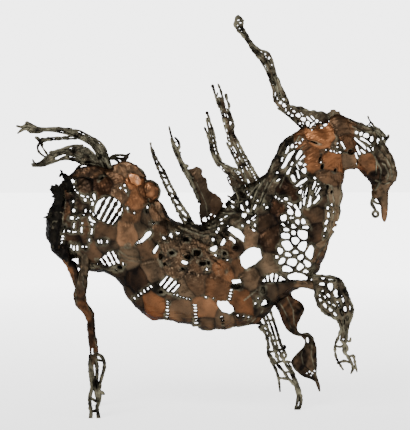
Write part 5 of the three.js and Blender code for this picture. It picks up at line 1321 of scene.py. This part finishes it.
standing = {
    "rods": [([254, 309, 258, 318, 262, 327, 266, 335, 268.4, 345, 268, 352, 272, 362, 276, 370, 278.4, 378,
               280, 391], [1.7, 2, 1.9, 1.8, 1.1]),
             ([258, 300, 260, 309, 264, 318, 267.4, 328, 271, 337, 273.4, 346, 276, 353, 279, 362],
              [1.6, 1.9, 1.9, 1.6]),
             ([267, 300, 270, 310, 274, 322, 278, 335, 281, 345, 285, 353], [1.5, 1.7, 1.7]),
             ([263, 306, 267, 316, 271, 326, 275, 338, 278, 350], [1.2, 1.5, 1.4]),
             ([268, 352, 276, 363, 284, 372, 288, 378, 296, 387, 299, 394], [1.6, 1.8, 1.7, 1.6]),
             ([283, 358, 284.4, 362, 290, 371, 294, 380, 298, 388, 300.6, 395, 301, 402, 299, 409,
               297, 413.4], [1.6, 1.8, 1.9, 2, 1.9]),
             ([287, 361, 292, 370, 296, 380, 300, 390], [1.2, 1.4, 1.4]),
             ([278, 378, 284, 378.4, 290, 380, 297, 388], [1.5, 1.6, 1.5]),
             ([296, 388, 298, 398, 296.6, 405, 295.6, 413.4], [1.7, 1.8, 2]),
             ([286, 362, 291, 362], [1.4, 1.2]), ([251, 320, 254, 314, 258, 308, 262, 301], [1.8, 1.6]),
             ([250, 320.6, 258, 323.4, 266, 327], [1.8, 1.7]), ([259, 327, 262, 330, 267, 331], [1.6, 1.6]),
             ([266, 336, 273, 335], [1.5, 1.5]), ([271, 341, 280, 340], [1.6, 1.5]),
             ([268, 352, 276, 351, 285, 348], [1.6, 1.5]), ([273, 365, 279, 362, 284, 361], [1.3, 1.4]),
             ([262, 313, 270, 311], [1.3, 1.3]), ([265, 321, 274, 320], [1.4, 1.3]),
             ([274, 345, 283, 356], [1.2, 1.3]), ([286, 372, 291, 372], [1.2, 1.2]),
             ([292, 384, 298, 384], [1.3, 1.3])],
    "rings": [(262, 329, 4.6, 1.2), (284, 347, 4.4, 1.2), (283.4, 355.4, 7.6, 1.5), (277, 356, 4.4, 1.2)],
}


def standingDepth(v):
    # From 14 mm behind the middle at the chest to 9 mm before it at the foot
    top, foot, topRow, rows = 14, -9, 300, 110
    return top + (foot - top) * (v - topRow) / rows


piece("standing_foreleg_rods", footCut([
    *strands(standing["rods"], standingDepth, oliveRod, seed=81, lumps=0.24, sides=9),
    *[ring(u, v, standingDepth(v), outer, radius) for u, v, outer, radius in standing["rings"]],
]), bronze, "standing_foreleg")

# Sheet foreleg: one twisted strip of plate with a scrolled end

sheetLeg = {
    "stations": [
        [262, 284, 291, 282, 1, 5, -2], [266, 292, 291.4, 290, 3, 6, -3], [270, 299, 293, 297, 3.6, 6, -4],
        [275, 306, 301, 302, 6, 6.4, -4], [279, 313, 304.6, 309, 6, 6.4, -4],
        [282, 321, 301, 318, 6, 6.4, -3], [286, 329, 297.4, 326, 6, 5.6, -2],
        [292.6, 334, 299, 332, 6, 4.6, 0], [300, 336, 307, 334.4, 6, 4.4, 2],
        [304.6, 341.6, 313.6, 339.4, 6, 4.8, 3], [303, 347, 316.6, 347, 6, 5, 3],
        [296, 354, 317, 355, 6, 5, 3], [291, 361.6, 317.4, 363.6, 6, 5, 3], [294, 369, 317, 369, 6, 4.6, 2],
        [303, 376.6, 317, 374.6, 6, 4, 1], [312, 380, 318, 378.6, 6, 3, 0],
        [316.4, 385, 320, 384.6, 6, 2.2, 0], [318.4, 391, 320.8, 390.4, 6, 1.2, 0]],
    "cells": [(307.5, 340, 2, 5.6, -15), (309.6, 371.6, 1.6, 1.6), (312.4, 373, 1.4, 1.6),
              (311, 375.6, 1.4, 1.3), (314.6, 371, 1.3, 1.6), (306.6, 373.4, 1.2, 1.2)],
    "ridges": [
        ([268, 296, 277, 313, 284, 327, 293, 334.6, 301, 335.4], 1.8),
        ([291, 288, 292, 297, 303, 303, 304.6, 310, 300, 320, 298, 333], 1.5),
        ([278, 300, 286, 314, 291, 328], 1.8), ([287, 297, 293, 310, 294, 327], 1.4),
        ([305, 344, 301, 354, 303, 364, 311, 372], 1.6), ([312, 342, 311, 354, 314, 366, 316, 376], 1.6),
        ([291, 362, 298, 372.6, 310, 378], 1.6)],
    "plates": [
        (268, 288, 8, .08, .3), (283, 288, 8, .2, .2), (277, 300, 6, .12, .2), (290, 306, 7, .24, .1),
        (299, 309, 5, .12, .2), (289, 321, 5, .2, .1), (295, 330, 4, .12, .4), (308, 338, 5, .14, .5),
        (311, 350, 6, .16, .4), (301, 356, 6, .08, .3), (312, 364, 5, .22, .5), (302, 369, 5, .12, .3),
        (316, 382, 5, .16, .6)],
    "rods": [([316, 376, 317, 383, 319.6, 391], [1.6, 1.5, 0.9]),
             ([293, 333, 300, 335, 308, 334, 313, 339], [1.6, 1.6])],
}
piece("sheet_foreleg_strip", [
    blade(sheetLeg["stations"], {"cells": sheetLeg["cells"]}, sheetLeg["ridges"], (0.24, 0.3, 0, 0),
          pitch=1.0, ragged=0.15, hammer=0.4, seed=91, plates=sheetLeg["plates"]),
    *strands(sheetLeg["rods"], 6, darkRod, seed=92),
], copper, "sheet_foreleg")

# Raised foreleg: strip along the chest, pierced forearm, lace shin that hangs from the knee

raised = {
    "strip": [[281, 280, 286, 290, -15, 6], [291, 279.6, 292, 288.6, -20, 6],
              [300, 279.6, 303, 288, -25, 6.4], [312, 280, 312, 290, -29, 6], [320, 280, 318, 291, -30, 5]],
    "forearm": [
        [311, 275, 314, 291, -30, 6], [320, 275.6, 316.4, 298, -30, 8], [330, 276.6, 321, 309, -30, 9],
        [338.6, 277.6, 330, 316, -30, 9], [345, 287, 337, 320, -30, 8], [350.6, 300, 340, 324, -30, 7],
        [353, 311, 341.4, 328, -30, 6], [350, 321, 341, 332, -30, 5], [347, 331, 340, 335, -30, 4],
        [346, 339, 340, 339, -30, 3]],
    "cells": [(330.6, 287, 5, 8, -25), (335.6, 293, 4, 8, -25), (322, 284, 5, 2.6, 10),
              (323, 278.4, 4, 1.6, 5), (331, 280, 5, 1.6, 5), (319.6, 294, 2, 4, -10),
              (322.6, 292, 2, 3, -20), (320.6, 300.6, 2.4, 4, -25), (324.6, 298, 2.6, 5, -25),
              (325, 305.6, 2.6, 5, -35), (329, 302.6, 2.6, 6, -35), (330.6, 309.6, 2.6, 5, -45),
              (333.6, 306, 2.4, 6, -40), (335, 313.6, 2.4, 4.4, -45), (328.4, 295.6, 2, 4, -30),
              (337.6, 304, 1.8, 5, -20), (342.6, 299, 2, 7, -15), (345, 308.6, 2.4, 6, -10),
              (341, 311.6, 1.6, 5, -15), (345, 292, 1.8, 4, -20), (347, 318, 2, 4, 10),
              (343.6, 321.6, 1.6, 3), (349.6, 308, 1.2, 3.4), (343.6, 329, 1.6, 3, 10)],
    "ridges": [
        ([316, 290, 316, 298, 319, 306, 325, 313, 333, 317, 340, 323], 1.8),
        ([338, 287, 340, 300, 342, 312, 343, 326], 2),
        ([312, 276, 330, 278, 340, 280, 348, 295, 353, 311, 347, 330], 1.8)],
    "rods": [([313, 275, 322, 276, 333, 277, 340, 280, 345, 288, 349, 299, 352.6, 309, 351, 318, 348, 326,
               346.6, 336], [1.6, 1.6, 1.9, 1.8]),
             ([315, 289, 316, 298, 319, 306, 325, 313, 333, 317, 339, 322, 341.4, 330], [1.7, 1.7, 1.8]),
             ([318, 290, 325, 300, 333, 309, 340, 316], [1.2, 1.4]),
             ([328, 290, 334, 299, 338, 308, 341, 318], [1.4, 1.5]),
             ([338, 284, 339.6, 296, 341.6, 308, 343, 322, 344, 333], [2, 2.2, 2]),
             ([343, 286, 347, 300, 348, 312, 346, 324], [1.4, 1.4]),
             ([318, 294, 327, 292, 336, 298, 346, 296], [1.1, 1.1]),
             ([319, 303, 328, 300, 338, 304, 350, 304], [1.1, 1.1]),
             ([324, 311, 332, 306, 342, 314, 351, 314], [1.1, 1.1]),
             ([314, 282, 324, 281, 334, 281], [1.3, 1.3]),
             ([341, 330, 338, 338, 335.4, 344, 335, 351, 336.4, 358, 339.6, 364, 343, 369.4],
              [1.9, 1.5, 1.4, 1.1]),
             ([345, 332, 346.4, 338, 344, 345, 344.4, 352, 348, 356.6, 351, 362, 353, 368, 351, 373.4],
              [2.2, 2.2, 2, 1.8, 1.2]), ([346, 341, 350, 341, 350.6, 338], [1.8, 1.1]),
             ([344, 345, 340, 347, 336, 346], [1.3, 1.3]), ([338, 363, 344, 361, 349, 362], [1.5, 1.7]),
             ([350, 356, 353.6, 356, 354.4, 359.6, 355.6, 366, 357, 371.6], [1.8, 1.6, 1.3, .9]),
             ([352, 367.6, 356.6, 368.4], [1.3, 1.1]),
             ([341, 340, 344, 343, 347, 348, 345, 354], [1.8, 2.1, 1.6])],
}
piece("raised_foreleg_lace", [
    blade(raised["strip"], traits=(0.3, 0.5, 0, 0), pitch=0.9, ragged=0.2, seed=95),
    blade(raised["forearm"], {"cells": raised["cells"]}, raised["ridges"], (0.22, 0.8, 0.35, 0), pitch=0.95,
          hammer=0.4, seed=96),
    *strands(raised["rods"], -32, oliveRod, seed=97, lumps=0.22),
], bronze, "raised_foreleg")
print("forelegs done")

# Floor, light and camera

studio = {
    "paper": 0.86, "paperRough": 0.9, "floorBelow": -0.0005,
    # Where the floor's glow starts and ends in y in metres, and the room's by the cosine off the line of
    # sight, each followed by the glow at the start and at the end
    "floorGlow": (-0.2, 2.6, 1.6, 4.5), "wallGlow": (0.94, 0.975, 0.7, 4.4),
    # Place in metres and watts
    "key": ((-1.2, -2.0, 2.2), 75), "fill": ((1.8, -1.8, 1.2), 22), "aim": (0, 0, 0.25), "lightSize": 1.4,
}
white = (1, 1, 1, 1)
paper = bpy.data.materials.new("paper_sweep_white")
paper.use_nodes = True
tree = paper.node_tree
tree.nodes.clear()
behind = addNode(tree, "ShaderNodeSeparateXYZ",
                 {"Vector": addNode(tree, "ShaderNodeTexCoord").outputs["Object"]})
# The paper glows where it is far from the figure, as the wall behind it does
sheet = addNode(tree, "ShaderNodeBsdfPrincipled", {
    "Base Color": (*[studio["paper"]] * 3, 1), "Roughness": studio["paperRough"], "Emission Color": white,
    "Emission Strength": mapped(tree, behind.outputs["Y"], *studio["floorGlow"])})
addNode(tree, "ShaderNodeOutputMaterial", {"Surface": sheet.outputs[0]})
bpy.ops.mesh.primitive_plane_add(size=60, location=(0, 0, studio["floorBelow"]))
floor = bpy.context.object
floor.name = "floor"
floor.data.materials.append(paper)

world = bpy.data.worlds.new("white_studio")
bpy.context.scene.world = world
world.use_nodes = True
tree = world.node_tree
tree.nodes.clear()
# The wall behind the figure is lit brighter than the room in front of it
direction = addNode(tree, "ShaderNodeTexCoord").outputs["Generated"]
towardsWall = addNode(tree, "ShaderNodeVectorMath", {0: direction, 1: tuple(sightAxis)},
                      operation="DOT_PRODUCT")
sky = addNode(tree, "ShaderNodeBackground", {
    "Color": white, "Strength": mapped(tree, towardsWall.outputs["Value"], *studio["wallGlow"])})
addNode(tree, "ShaderNodeOutputWorld", {"Surface": sky.outputs[0]})


def placed(name, data, axes, place):
    # A light or camera in the scene with its three axes in world directions
    thing = bpy.data.objects.new(name, data)
    thing.matrix_world = Matrix([[*(axis[i] for axis in axes), place[i]] for i in range(3)] + [[0, 0, 0, 1]])
    bpy.context.scene.collection.objects.link(thing)
    return thing


for name in ("key", "fill"):
    place, watts = studio[name]
    light = bpy.data.lights.new(name, "AREA")
    light.shape, light.size, light.energy = "SQUARE", studio["lightSize"], watts
    away = np.array(place, float) - np.array(studio["aim"], float)
    side = unit(np.cross([0.0, 0.0, 1.0], away))
    placed(name, light, (side, unit(np.cross(away, side)), unit(away)), place)

camera = bpy.data.cameras.new("camera")
camera.sensor_width, camera.sensor_fit = 36.0, "AUTO"  # the picture's height is its longer side
camera.lens = camera.sensor_width * eyeDistance / (patternSize[1] * square)
cameraAxes = sightRight, sightUp, -sightAxis
bpy.context.scene.camera = placed("camera", camera, cameraAxes, (eye + lift) * toMetres)
